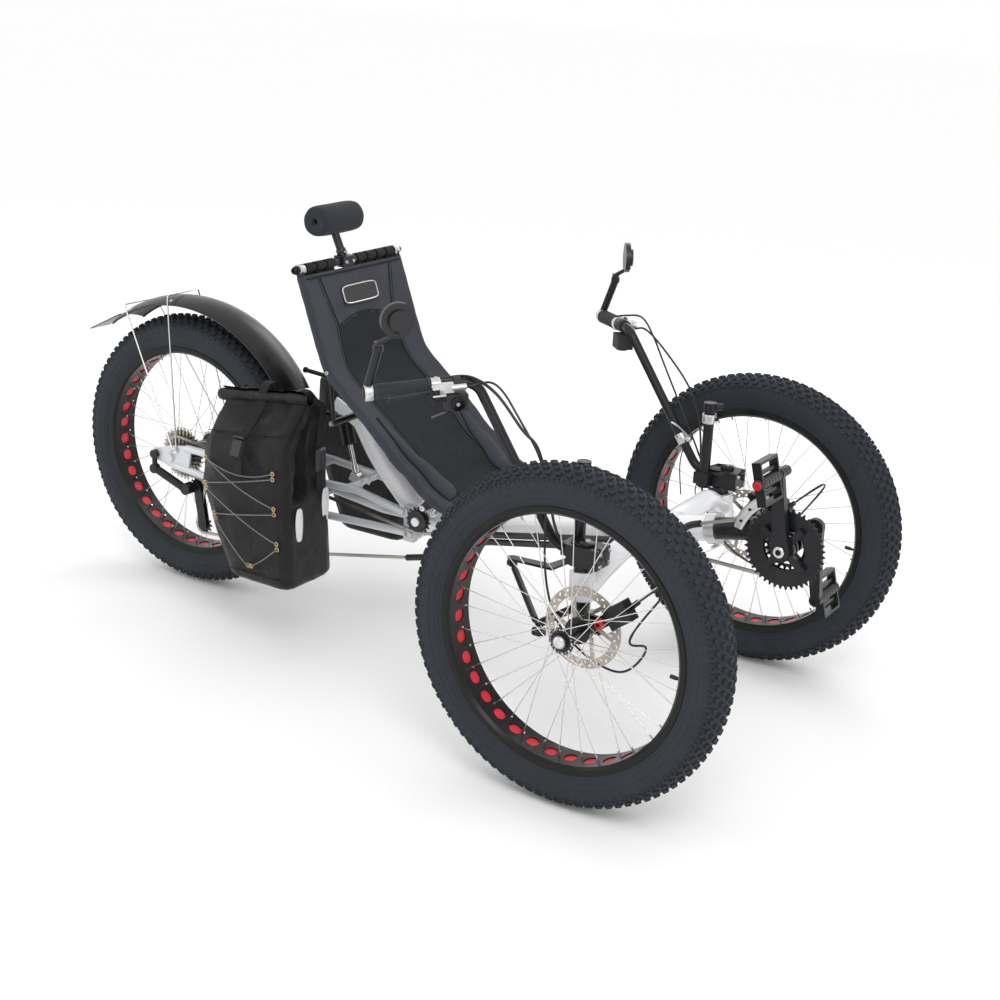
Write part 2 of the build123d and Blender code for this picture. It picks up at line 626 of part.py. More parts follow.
def make_knuckle(name, side):
    """Upright that turns on the kingpin: stub axle, steering arm, bar clamp and accessory post."""
    kingpin_up = kingpin_direction(side)
    middle = sided(KINGPIN_BASE, side)
    lower_end = middle - kingpin_up * 42
    upper_end = middle + kingpin_up * 52
    stub_root = Vector(FRONT_X, side * 397, AXLE_Z)
    arm_end = sided(STEERING_ARM_END, side)
    post_foot = sided(ACCESSORY_POST, side)
    with BuildPart() as knuckle:
        add_bar(lower_end, upper_end, 8)
        add_bar(lower_end - kingpin_up * 12, middle - kingpin_up * 31.6, 19)
        add_bar(middle + kingpin_up * 31.6, middle + kingpin_up * 50, 19)
        # lower yoke, from the kingpin out to the stub axle
        add_bar(lower_end, stub_root + Vector(-6, 0, 0), 13)
        add_bar(stub_root, stub_root + Vector(0, side * 14, 0), 17)
        add_bar(stub_root, (FRONT_X, side * 502, AXLE_Z), AXLE_RADIUS)
        # steering arm with a stud for the tie rod
        add_bar(lower_end, arm_end + Vector(4, 0, 15), 9)
        add_bar(arm_end + Vector(0, 0, 14), arm_end + Vector(0, 0, -18), 3)
        # bar clamp on top of the kingpin and the foot of the accessory post
        add_block((FRONT_X - 38, side * 342, 505), (1, 0, 0), (0, 0, 1), (76, 56, 44))
        add_block((FRONT_X - 82, side * 318, 505), (1, 0, 0), (0, 0, 1), (38, 60, 28))
        add_bar((FRONT_X - 6, side * 352, 516), (FRONT_X + 4, side * 356, 516), 14)
        # accessory post: tube, end caps, collar and short stub bar
        for radius, low, high in ((12.5, 484, 690), (15, 482, 512), (16, 646, 664), (15.5, 672, 694)):
            add_bar(post_foot + Vector(0, 0, low), post_foot + Vector(0, 0, high), radius)
        add_bar(post_foot + Vector(0, 0, 683), post_foot + Vector(22, side * 22, 683), 8)
        # caliper bracket
        bracket = Vector(FRONT_X + 50, side * 400, 400)
        add_block(bracket, (0.78, 0, 0.62), Y_AXIS, (70, 26, 8))
        add_block(bracket + Vector(-32, 0, -20), (1, 0, 0), Y_AXIS, (36, 40, 8))
        # bore that the handlebar is clamped in
        bar_corners = [sided(corner, side) for corner in BAR_CORNERS[:3]]
        add_tube(bar_corners, BAR_BENDS[:1], HANDLEBAR_RADIUS + RUNNING_GAP, mode=Mode.SUBTRACT)
    save(knuckle, f"steering_knuckle_{name}")


def make_handlebar(name, side):
    """Bar, grip with its shifter pod, brake lever body and lever of one side."""
    corners = [sided(corner, side) for corner in BAR_CORNERS]
    along = sided(grip_along, side)
    out = sided(grip_out, side)
    turn_axis = along.cross(out).normalized() * side
    bar_end = corners[3]
    with BuildPart() as handlebar:
        add_tube(corners, BAR_BENDS, HANDLEBAR_RADIUS)
    save(handlebar, f"handlebar_{name}")

    with BuildPart() as grip:
        grip_middle = bar_end - along * 78
        add_ring(grip_middle, along, 16, HANDLEBAR_RADIUS + 0.02, 121)
        pod_middle = bar_end - along * 196
        add_ring(pod_middle, along, 16, HANDLEBAR_RADIUS + 0.02, 16)
        pod_drop = Vector(0, 0, -1)
        add_block(pod_middle + pod_drop * 38, along, (0, 0, 1), (46, 40, 36))
        add_bar(pod_middle + pod_drop * 30 + along * 18, pod_middle + pod_drop * 40 + along * 52, 5)
    save(grip, f"grip_{name}")

    lever_clamp = bar_end - along * 150
    lever_pivot = lever_clamp + out * 35 + along * 4
    with BuildPart() as lever_body:
        add_ring(lever_clamp, along, 17, HANDLEBAR_RADIUS + 0.02, 20)
        add_block(lever_clamp + out * 19.5 - along * 12, along, turn_axis, (46, 14, 20))
        add_bar(lever_clamp + out * 24 - along * 62, lever_clamp + out * 24 - along * 30, 7)
        for ear in (-8, 8):
            add_block(lever_pivot + turn_axis * ear - along * 4, along, turn_axis, (28, 18, 4))
        add_bar(lever_pivot - turn_axis * 9, lever_pivot + turn_axis * 9, 3)
    save(lever_body, f"lever_body_{name}")

    with BuildPart() as brake_lever:
        add_ring(lever_pivot, turn_axis, 7, 3 + RUNNING_GAP, 10)
        blade_start = lever_pivot + along * 13 + out * 2
        blade_bend = lever_pivot + along * 40 + out * 10
        blade_tip = lever_pivot + along * 104 + out * 14
        add_bar(lever_pivot + along * 5.5 + out * 1, blade_start, 4)
        add_tube([blade_start, blade_bend, blade_tip], [20], 4.5)
        add_bar(blade_tip - along * 3, blade_tip + along * 3, 7)
    save(brake_lever, f"brake_lever_{name}")

    with BuildPart() as mirror_post:
        clamp_middle = bar_end - along * 6
        add_ring(clamp_middle, along, 17, HANDLEBAR_RADIUS + 0.02, 13)
        post_start = clamp_middle + Vector(0, 0, 13) + along * 2
        post_end = Vector(FRONT_X - 471, side * 514, 905)
        add_bar(post_start, post_end, 9.5)
        add_bar(post_end - Vector(0, 0, 4), post_end + Vector(0, 0, 8), 11)
    save(mirror_post, f"mirror_post_{name}")

    facing = Vector(-0.82, -side * 0.57, 0).normalized()
    disc_middle = Vector(FRONT_X - 434, side * 499, 972)
    with BuildPart() as mirror:
        add_bar(disc_middle - facing * 6, disc_middle + facing * 6, 37.5)
        add_bar(disc_middle - facing * 14, disc_middle - facing * 5, 22)
        stem_top = disc_middle - facing * 8 + Vector(0, 0, -26)
        ball = Vector(FRONT_X - 471, side * 514, 913.5)
        add_bar(ball + Vector(0, 0, 6), stem_top, 5)
        add_bar(ball, ball + Vector(0, 0, 9), 9)
    save(mirror, f"mirror_{name}")


def make_brake(name, side):
    """Caliper over the disc's front edge and the cable that works it."""
    disc_y = TRACK / 2 - 60
    caliper_middle = Vector(FRONT_X + 84, side * disc_y, 424)
    with BuildPart() as caliper:
        add_block(caliper_middle, (0.8, 0, 0.6), Y_AXIS, (56, 46, 30))
        add_bar(caliper_middle + Vector(6, -side * 24, 2), caliper_middle + Vector(6, 0, 2), 17)
        add_bar(caliper_middle + Vector(6, -side * 31, 2), caliper_middle + Vector(6, -side * 24, 2), 11)
        add_bar(caliper_middle + Vector(20, -side * 8, 18), caliper_middle + Vector(36, -side * 8, 34), 6)
        # slot that the brake disc runs through
        with Locations(Plane(origin=(FRONT_X, side * disc_y, AXLE_Z), x_dir=(1, 0, 0), z_dir=Y_AXIS)):
            Cylinder(DISC_RADIUS + 3, 4.4, mode=Mode.SUBTRACT)
        # room for the bracket on the upright
        slot_middle = (FRONT_X + 50, side * 400, 400)
        add_block(slot_middle, (0.78, 0, 0.62), Y_AXIS, (70.2, 26.2, 8.2), mode=Mode.SUBTRACT)
        add_bar((FRONT_X, side * 390, AXLE_Z), (FRONT_X, side * 440, AXLE_Z), 62, mode=Mode.SUBTRACT)
    save(caliper, f"brake_caliper_{name}")

    along = sided(grip_along, side)
    out = sided(grip_out, side)
    cable_start = sided(BAR_CORNERS[3], side) - along * 150 + out * 24 - along * 64
    cable_points = [
        cable_start,
        cable_start - along * 40 + Vector(8, 0, 6),
        (FRONT_X - 222, side * 352, 776), (FRONT_X - 150, side * 360, 680), (FRONT_X - 128, side * 372, 575),
        (FRONT_X - 118, side * 378, 460), (FRONT_X - 80, side * 384, 360), (FRONT_X - 8, side * 384, 300),
        (FRONT_X + 60, side * 386, 282), (FRONT_X + 112, side * 392, 306), (FRONT_X + 136, side * 397, 362),
        (FRONT_X + 134, side * 403, 424), caliper_middle + Vector(39, -side * 8, 37),
    ]
    with BuildPart() as cable:
        with BuildLine() as run:
            Spline(*cable_points, tangents=[along * -1, Vector(-0.7, 0, -0.7)])
        with BuildSketch(Plane(origin=run.wire() @ 0, z_dir=run.wire() % 0)) as section:
            Circle(CABLE_RADIUS)
        sweep(sections=section.sketch, path=run.wire())
    save(cable, f"brake_cable_{name}")


for name, side in SIDES:
    make_knuckle(name, side)
    make_handlebar(name, side)
    make_brake(name, side)

    inner, outer = sided(TIE_ROD_INNER, side), sided(STEERING_ARM_END, side)
    rod_along = (outer - inner).normalized()
    with BuildPart() as tie_rod:
        add_bar(inner + rod_along * 12, outer - rod_along * 15, 4.5)
        add_bar(inner + rod_along * 24, outer - rod_along * 34, 7.5)
        add_ring(inner, (0, 0, 1), 12.5, 4 + RUNNING_GAP, 8)
        add_ring(outer + Vector(0, 0, -6), (0, 0, 1), 16, 11, 10)
    save(tie_rod, f"tie_rod_{name}")

with BuildPart() as bell_crank:
    plate_z = BELL_CRANK_PIVOT.Z
    with BuildSketch(Plane(origin=(0, 0, plate_z - 6))) as plate:
        with BuildLine():
            Polyline(
                (BELL_CRANK_PIVOT.X - 18, 24), (FRONT_X - 200, 204), (TIE_ROD_INNER.X - 4, 212),
                (TIE_ROD_INNER.X - 14, 200), (TIE_ROD_INNER.X - 4, 188), (FRONT_X - 222, 180),
                (BELL_CRANK_PIVOT.X - 22, 12),
                (BELL_CRANK_PIVOT.X - 22, -12), (FRONT_X - 222, -180), (TIE_ROD_INNER.X - 4, -188),
                (TIE_ROD_INNER.X - 14, -200), (TIE_ROD_INNER.X - 4, -212), (FRONT_X - 200, -204),
                (BELL_CRANK_PIVOT.X - 18, -24), (BELL_CRANK_PIVOT.X + 18, -16), (BELL_CRANK_PIVOT.X + 18, 16),
                close=True,
            )
        make_face()
        with Locations((BELL_CRANK_PIVOT.X, 0)):
            Circle(22)
            Circle(BELL_CRANK_PIN + RUNNING_GAP, mode=Mode.SUBTRACT)
    extrude(plate.sketch, amount=6)
    for _, side in SIDES:
        inner = sided(TIE_ROD_INNER, side)
        add_bar((inner.X, inner.Y, plate_z - 3), (inner.X, inner.Y, inner.Z - 6), 4)
        add_bar((inner.X, inner.Y, inner.Z - 6), (inner.X, inner.Y, inner.Z - 9), 6)
save(bell_crank, "bell_crank")

# ---------------------------------------------------------------- derailleurs
with BuildPart() as front_derailleur:
    post_along = (Vector(FRONT_X + 222, 0, 648) - on_tube(128)).normalized()
    post_clamp = on_tube(128) + post_along * 84
    add_ring(post_clamp, post_along, 19, 14.02, 16)
    add_block(post_clamp + Vector(-17, -14, 0), (0, -1, 0), (0, 0, 1), (26, 16, 14))
    add_bar(post_clamp + Vector(-20, -20, 4), post_clamp + Vector(-24, -58, 2), 9)
    add_bar(post_clamp + Vector(-18, -20, -10), post_clamp + Vector(-22, -58, -6), 6)
    add_bar(post_clamp + Vector(-20, -14, 4), post_clamp + Vector(-18, -20, -10), 6)
    cage_inner, cage_outer = 97.0, 123.0
    cage_start, cage_sweep = 112, 56
    for plate_y in (-60.0, -79.0):
        plate_middle = CRANK_CENTRE + Vector(0, plate_y, 0)
        with BuildSketch(Plane(origin=plate_middle, x_dir=(1, 0, 0), z_dir=(0, -1, 0))):
            with BuildLine():
                inner_edge = CenterArc((0, 0), cage_inner, cage_start, cage_sweep)
                outer_edge = CenterArc((0, 0), cage_outer, cage_start, cage_sweep)
                Line(inner_edge @ 0, outer_edge @ 0)
                Line(inner_edge @ 1, outer_edge @ 1)
            make_face()
        extrude(amount=1.6)
    bridge = about(CRANK_CENTRE, 121, 130)
    add_block((bridge.X, -70.3, bridge.Z), (sin(radians(130)), 0, -cos(radians(130))), Y_AXIS, (30, 5, 20))
    add_bar((bridge.X - 10, -50, bridge.Z + 2), (bridge.X - 10, -61, bridge.Z - 2), 8)
    add_bar(post_clamp - post_along * 40, post_clamp + post_along * 40, 14.02, mode=Mode.SUBTRACT)
save(front_derailleur, "front_derailleur")

HANGER = Vector(REAR_X - 52, 0, AXLE_Z)
with BuildPart() as rear_derailleur:
    hanger_eye = Vector(HANGER.X, -110.3, HANGER.Z)
    knuckle = Vector(FRONT_X - 1499, -110, 332)
    cage_pivot = Vector(FRONT_X - 1402, -86, 290)
    add_bar((HANGER.X, -104.3, HANGER.Z), (HANGER.X, -117, HANGER.Z), 12)
    add_bar(hanger_eye + Vector(0, -1, 0), knuckle + Vector(0, -1, 0), 7)
    add_bar(knuckle + Vector(0, 7, 0), knuckle + Vector(0, -9, 0), 13)
    add_bar(knuckle, cage_pivot + Vector(-14, -8, 2), 11)
    add_bar((cage_pivot.X, -76, cage_pivot.Z), (cage_pivot.X, -102, cage_pivot.Z), 16)
    cage_middle = (UPPER_PULLEY + LOWER_PULLEY) * 0.5
    cage_along = (LOWER_PULLEY - UPPER_PULLEY).normalized()
    cage_length = (LOWER_PULLEY - UPPER_PULLEY).length
    for plate_y in (CHAIN_Y - 6.4, CHAIN_Y + 6.4):
        cage_plane = Plane(origin=(cage_middle.X, plate_y, cage_middle.Z), x_dir=cage_along, z_dir=Y_AXIS)
        with BuildSketch(cage_plane) as cage:
            SlotCenterToCenter(cage_length, 26)
        extrude(cage.sketch, amount=0.9, both=True)
    add_block((cage_pivot.X + 8, CHAIN_Y - 6.4, cage_pivot.Z), (1, 0, 0), Y_AXIS, (30, 22, 1.8))
    for pulley in (UPPER_PULLEY, LOWER_PULLEY):
        add_bar((pulley.X, CHAIN_Y - 9, pulley.Z), (pulley.X, CHAIN_Y + 9, pulley.Z), 4)
        add_toothed_wheel(on_chain(pulley), PULLEY_TEETH, 0.5, 2.0)
save(rear_derailleur, "rear_derailleur")

# ---------------------------------------------------------------- swingarm, fender and shock
SHOCK_BRIDGE = Vector(FRONT_X - 882, 0, 400)
with BuildPart() as swingarm:
    for _, side in SIDES:
        ear = Vector(SWING_PIVOT.X - 4, side * 40, SWING_PIVOT.Z + 26)
        add_block(ear, (0, 0, 1), Y_AXIS, (92, 30, 20))
        upper = [(-709, 60, 370), (-861, 62, 398), (-1050, 92, 401), (-1393, 101, 406)]
        lower = [(-707, 56, 318), (-862, 60, 313), (-1050, 92, 318), (-1430, 101, 350)]
        for corners in (upper, lower):
            add_tube([(FRONT_X + x, side * w, z) for x, w, z in corners], [120, 120], 10)
        add_bar((FRONT_X - 709, side * 36, 368), (FRONT_X - 709, side * 62, 370), 10)
        add_bar((FRONT_X - 707, side * 36, 318), (FRONT_X - 707, side * 58, 318), 9)
        # dropout plate
        outline = [(-1375, 416), (-1462, 400), (-1478, 372), (-1455, 345), (-1410, 338), (-1385, 356)]
        if name == "right":
            outline[1:3] = [(-1450, 404), (-1512, 384), (-1512, 360)]
        with BuildSketch(Plane(origin=(0, side * 98, 0), x_dir=(1, 0, 0), z_dir=(0, side, 0))) as plate:
            with BuildLine():
                Polyline(*[(FRONT_X + x, -side * z) for x, z in outline], close=True)
            make_face()
        extrude(plate.sketch, amount=6)
    add_bar((SHOCK_BRIDGE.X, -64, SHOCK_BRIDGE.Z), (SHOCK_BRIDGE.X, 64, SHOCK_BRIDGE.Z), 9)
    add_bar((FRONT_X - 1046, -92, 401), (FRONT_X - 1046, 92, 401), 8)
    add_bar((FRONT_X - 1046, -92, 318), (FRONT_X - 1046, 92, 318), 8)
    for ear in (-15, 15):
        add_block(((SHOCK_BRIDGE.X + SHOCK_BOTTOM.X) / 2, ear, 404), (-0.94, 0, 0.33), Y_AXIS, (44, 20, 5))
    add_bar((SHOCK_BOTTOM.X, -18, SHOCK_BOTTOM.Z), (SHOCK_BOTTOM.X, 18, SHOCK_BOTTOM.Z), 5)
    pivot_reach = Vector(0, 60, 0)
    add_bar(SWING_PIVOT - pivot_reach, SWING_PIVOT + pivot_reach, 8 + RUNNING_GAP, mode=Mode.SUBTRACT)
    add_bar((REAR_X, -112, AXLE_Z), (REAR_X, 112, AXLE_Z), 6)
    for side in (1, -1):
        add_bar((REAR_X, side * 103, AXLE_Z), (REAR_X, side * 112, AXLE_Z), 12)
save(swingarm, "swingarm")

with BuildPart() as shock_body:
    shock_along = (SHOCK_BOTTOM - SHOCK_TOP).normalized()
    add_bar(SHOCK_TOP + shock_along * 6, SHOCK_TOP + shock_along * 104, 18)
    add_ring(SHOCK_TOP, Y_AXIS, 12, 5 + RUNNING_GAP, 24)
    eye_reach = Vector(0, 13.4, 0)
    add_bar(SHOCK_TOP - eye_reach, SHOCK_TOP + eye_reach, 5 + RUNNING_GAP, mode=Mode.SUBTRACT)
    for flank in (-27, 27):
        centre = SHOCK_TOP + shock_along * 10 + Vector(0, flank, 0)
        add_block(centre, shock_along, Y_AXIS, (80, 60, 28), mode=Mode.SUBTRACT)
    add_bar(SHOCK_TOP + shock_along * 60, SHOCK_TOP + shock_along * 110, 6 + RUNNING_GAP, mode=Mode.SUBTRACT)
save(shock_body, "shock_body")

with BuildPart() as shock_shaft:
    add_bar(SHOCK_TOP + shock_along * 90, SHOCK_BOTTOM - shock_along * 9, 6)
    add_bar(SHOCK_BOTTOM - shock_along * 30, SHOCK_BOTTOM - shock_along * 11, 9)
    add_ring(SHOCK_BOTTOM, Y_AXIS, 11, 7, 20)
save(shock_shaft, "shock_shaft")

FENDER_RADIUS = 420.0
FENDER_HALF_WIDTH = 58.0
FENDER_SPAN = (33, 128)
fender_start = about(rear_axle, 1, FENDER_SPAN[0]) - rear_axle
fender_plane = Plane(origin=rear_axle, x_dir=Y_AXIS, z_dir=fender_start.cross(Vector(0, 1, 0)) * -1)
with BuildPart() as rear_fender:
    with BuildSketch(fender_plane) as section:
        with BuildLine():
            ThreePointArc((-FENDER_HALF_WIDTH, 404), (0, FENDER_RADIUS), (FENDER_HALF_WIDTH, 404))
            Line((FENDER_HALF_WIDTH, 404), (FENDER_HALF_WIDTH, 406.6))
            ThreePointArc((FENDER_HALF_WIDTH, 406.6), (0, FENDER_RADIUS + 2.6), (-FENDER_HALF_WIDTH, 406.6))
            Line((-FENDER_HALF_WIDTH, 406.6), (-FENDER_HALF_WIDTH, 404))
        make_face()
    revolve(section.sketch, axis=Axis(rear_axle, (0, -1, 0)), revolution_arc=FENDER_SPAN[1] - FENDER_SPAN[0])
    tail_root = about(rear_axle, FENDER_RADIUS + 1.3, FENDER_SPAN[1] - 1.5)
    tail_tip = Vector(FRONT_X - 1807, 0, 655)
    tail_along = (tail_tip - tail_root).normalized()
    tail_middle = (tail_root + tail_tip) * 0.5
    tail_length = (tail_tip - tail_root).length
    add_block(tail_middle, tail_along, tail_along.cross(Vector(0, 1, 0)), (tail_length, 70, 2.6))
save(rear_fender, "rear_fender")

with BuildPart() as fender_stays:
    for _, side in SIDES:
        for low, high_angle in (((-1437, 107.5, 393), 118), ((-1424, 107.5, 399), 96)):
            side_point = about(rear_axle, 414, high_angle) + Vector(0, side * 62, 0)
            corner = about(rear_axle, 429, high_angle) + Vector(0, side * 58, 0)
            crest = about(rear_axle, 429, high_angle)
            foot = Vector(FRONT_X + low[0], side * low[1], low[2])
            add_tube([foot, side_point, corner, crest], [3, 6], 2.2)
        add_bar((FRONT_X - 1430, side * 104.3, 395), (FRONT_X - 1430, side * 110, 395), 9)
    add_bar((FRONT_X - 1048, 0, 411.5), about(rear_axle, 416, 34.5), 5)
save(fender_stays, "fender_stays")

# ---------------------------------------------------------------- seat
RAIL_RADIUS = 9.0
seat_points = [Vector(FRONT_X + x, 0, z) for x, z in SEAT_PROFILE]
RACK_Y = 122.0
HEADREST = Vector(FRONT_X - 990, 0, 1058)
HEADREST_POST_Y = -16.0

with BuildPart() as seat_frame:
    for _, side in SIDES:
        rail = [Vector(point.X, side * SEAT_HALF_WIDTH, point.Z) for point in seat_points]
        with BuildLine() as run:
            Spline(*rail)
        with BuildSketch(Plane(origin=run.wire() @ 0, z_dir=run.wire() % 0)) as section:
            Circle(RAIL_RADIUS)
        sweep(sections=section.sketch, path=run.wire())
        # struts from the rear cross tube to the backrest
        add_bar((SEAT_REAR_TUBE.X, side * 172, SEAT_REAR_TUBE.Z), (FRONT_X - 849, side * 192, 728), 7)
        # bag rail
        rack_end = Vector(FRONT_X - 1170, side * RACK_Y, 618)
        add_bar((SEAT_REAR_TUBE.X, side * RACK_Y, SEAT_REAR_TUBE.Z), rack_end, 6)
        add_bar(rack_end, rack_end + Vector(-6, 0, 0.4), 8)
    add_bar((FRONT_X - 944, -206, 962), (FRONT_X - 944, 206, 962), 10)
    # headrest post, a little to the rider's right, and its clamp on the top bar
    post_foot = Vector(FRONT_X - 944, HEADREST_POST_Y, 962)
    add_bar(post_foot, HEADREST + Vector(0, HEADREST_POST_Y, 0), 10)
    add_block(post_foot, Y_AXIS, (0, 0, 1), (46, 30, 26))
    for _, side in SIDES:
        collar_y = side * SEAT_HALF_WIDTH
        add_bar((FRONT_X - 943, collar_y, 962), (FRONT_X - 930, collar_y, 928), RAIL_RADIUS + 0.8)
    add_bar(SEAT_REAR_TUBE + Vector(0, -178, 0), SEAT_REAR_TUBE + Vector(0, 178, 0), 9)
    add_bar(SEAT_FRONT_TUBE + Vector(0, -198, 0), SEAT_FRONT_TUBE + Vector(0, 198, 0), 9)
    for _, side in SIDES:
        add_bar(SEAT_FRONT_TUBE + Vector(0, side * 192, 0), (FRONT_X - 546, side * 192, 476), 8)
    front = seat_points[-1]
    add_bar((front.X - 4, -192, front.Z), (front.X - 4, 192, front.Z), RAIL_RADIUS)
save(seat_frame, "seat_frame")

cover_points = seat_points[:-1] + [Vector(FRONT_X - 481, 0, 454)]


def offset_profile(points, distance):
    """The profile moved sideways by a distance, as sketch points with z pointing down."""
    moved = []
    for index, point in enumerate(points):
        before = points[max(index - 1, 0)]
        after = points[min(index + 1, len(points) - 1)]
        along = (after - before).normalized()
        moved.append((point.X - along.Z * distance, -(point.Z + along.X * distance)))
    return moved


COVER_THICKNESS = 8.0
with BuildPart() as seat_cover:
    cover_half_width = SEAT_HALF_WIDTH - RAIL_RADIUS - 1.0
    with BuildSketch(Plane(origin=(0, cover_half_width, 0), x_dir=(1, 0, 0), z_dir=(0, 1, 0))) as section:
        with BuildLine():
            upper_edge = Spline(*offset_profile(cover_points, COVER_THICKNESS / 2))
            lower_edge = Spline(*offset_profile(cover_points, -COVER_THICKNESS / 2))
            Line(upper_edge @ 0, lower_edge @ 0)
            Line(upper_edge @ 1, lower_edge @ 1)
        make_face()
    extrude(section.sketch, amount=-2 * cover_half_width)
save(seat_cover, "seat_cover")

with BuildPart() as headrest_pad:
    with BuildSketch(Plane(origin=HEADREST + Vector(0, -79, 0), x_dir=(1, 0, 0), z_dir=(0, 1, 0))) as section:
        Circle(38)
    extrude(section.sketch, amount=158)
    fillet(headrest_pad.edges(), 9)
save(headrest_pad, "headrest_pad")

# ---------------------------------------------------------------- panniers
PANNIER_INNER, PANNIER_OUTER = 138.0, 316.0
PANNIER_PROFILE = ((-1148, 606), (-1156, 420), (-1062, 196), (-866, 194), (-882, 420), (-886, 644))
for name, side in SIDES:
    with BuildPart() as pannier:
        bag_plane = Plane(origin=(0, side * PANNIER_INNER, 0), x_dir=(1, 0, 0), z_dir=(0, side, 0))
        with BuildSketch(bag_plane) as outline:
            with BuildLine():
                Polyline(*[(FRONT_X + x, -side * z) for x, z in PANNIER_PROFILE], close=True)
            make_face()
            fillet(outline.vertices(), 22)
        extrude(outline.sketch, amount=PANNIER_OUTER - PANNIER_INNER)
        outer_face = pannier.faces().sort_by(Axis.Y)[-1 if side > 0 else 0]
        fillet(outer_face.edges(), 20)
    with pannier:
        roll_y = side * (PANNIER_INNER + PANNIER_OUTER) / 2
        add_bar((FRONT_X - 1158, roll_y, 622), (FRONT_X - 880, roll_y, 660), 17)
        for x in (-1090, -950):
            hook_z = 598 + (20 / 320) * (-x - 850)
            add_block((FRONT_X + x, side * (PANNIER_INNER - 3.5), hook_z), (1, 0, 0), (0, 0, 1), (30, 11, 22))
    save(pannier, f"pannier_{name}")
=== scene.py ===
"""Looks for the recumbent tricycle: camera, light, materials, tyres, seat, bags and trim.

Lengths are in metres in the row frame: +X forward, +Y the rider's left, +Z up.
"""

import json
from math import copysign, cos, pi, radians, sin, sqrt

import bmesh
import bpy
from mathutils import Matrix, Vector, noise


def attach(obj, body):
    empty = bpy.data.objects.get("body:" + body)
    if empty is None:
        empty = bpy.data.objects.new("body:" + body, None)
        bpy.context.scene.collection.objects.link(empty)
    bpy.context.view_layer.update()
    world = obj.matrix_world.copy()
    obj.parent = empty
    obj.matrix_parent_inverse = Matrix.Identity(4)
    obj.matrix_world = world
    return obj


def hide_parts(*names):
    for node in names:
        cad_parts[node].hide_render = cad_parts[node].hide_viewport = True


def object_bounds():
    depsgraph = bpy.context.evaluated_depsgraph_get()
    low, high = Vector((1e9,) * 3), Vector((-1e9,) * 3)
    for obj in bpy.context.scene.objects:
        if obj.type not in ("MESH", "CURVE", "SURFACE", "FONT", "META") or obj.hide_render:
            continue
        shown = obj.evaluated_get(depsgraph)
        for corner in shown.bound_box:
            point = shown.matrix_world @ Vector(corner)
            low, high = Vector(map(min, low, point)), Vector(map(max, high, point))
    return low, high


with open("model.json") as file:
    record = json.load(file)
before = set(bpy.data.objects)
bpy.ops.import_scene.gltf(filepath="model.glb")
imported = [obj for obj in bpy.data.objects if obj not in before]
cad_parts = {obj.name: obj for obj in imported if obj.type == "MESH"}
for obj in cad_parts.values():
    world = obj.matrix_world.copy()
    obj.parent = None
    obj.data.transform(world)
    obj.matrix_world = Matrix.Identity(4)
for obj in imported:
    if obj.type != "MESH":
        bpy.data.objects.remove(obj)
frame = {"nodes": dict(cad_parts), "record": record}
cad_low, cad_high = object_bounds()
nodes = frame["nodes"]
MM = 0.001
FRONT_X = 0.724
REAR_X = FRONT_X - 1.448
AXLE_Z = 0.372
SIDES = (("left", 1), ("right", -1))
FORWARD = Vector((1, 0, 0))
LEFT = Vector((0, 1, 0))
UP = Vector((0, 0, 1))


# --- camera and light
def make_camera():
    """The photograph's view: a little above, from the front right."""
    yaw, pitch, roll = (radians(a) for a in (121.8332, -17.63, 2.7247))
    forward = Vector((cos(pitch) * cos(yaw), cos(pitch) * sin(yaw), sin(pitch)))
    level = forward.cross(UP).normalized()
    above = level.cross(forward)
    right = cos(roll) * level + sin(roll) * above
    top = cos(roll) * above - sin(roll) * level
    data = bpy.data.cameras.new("camera")
    data.lens = 59.39
    data.sensor_width = 36
    data.shift_x = 0.0042
    data.shift_y = -0.0332
    camera = bpy.data.objects.new("camera", data)
    bpy.context.scene.collection.objects.link(camera)
    place = Matrix((right, top, -forward)).transposed().to_4x4()
    place.translation = Vector((FRONT_X + 1.50836, -3.216, 1.72385))
    camera.matrix_world = place
    bpy.context.scene.camera = camera


def make_light(name, place, size, power, target=(0, 0, 0.4)):
    """A square area light that faces the middle of the tricycle."""
    data = bpy.data.lights.new(name, "AREA")
    data.size = size
    data.energy = power
    light = bpy.data.objects.new(name, data)
    bpy.context.scene.collection.objects.link(light)
    light.location = place
    light.rotation_euler = (Vector(target) - Vector(place)).to_track_quat("-Z", "Y").to_euler()


def make_room():
    """White studio: pale floor, white surround and three soft lights."""
    world = bpy.data.worlds.new("studio")
    world.use_nodes = True
    world.node_tree.nodes["Background"].inputs["Color"].default_value = (1, 1, 1, 1)
    world.node_tree.nodes["Background"].inputs["Strength"].default_value = 1.0
    bpy.context.scene.world = world
    make_light("key", (2.4, -2.6, 3.6), 1.6, 45)
    make_light("fill", (-2.8, -2.4, 2.2), 2.0, 14)
    make_light("back", (-0.5, 3.4, 3.0), 2.0, 22)
    bpy.ops.mesh.primitive_plane_add(size=60, location=(0, 0, cad_low.z - 0.0005))
    floor = bpy.context.object
    floor.name = "floor"
    floor.data.materials.append(make_material("floor_white", (0.985, 0.985, 0.985), rough=0.9, grain=0))
    bpy.context.scene.view_settings.view_transform = "Standard"


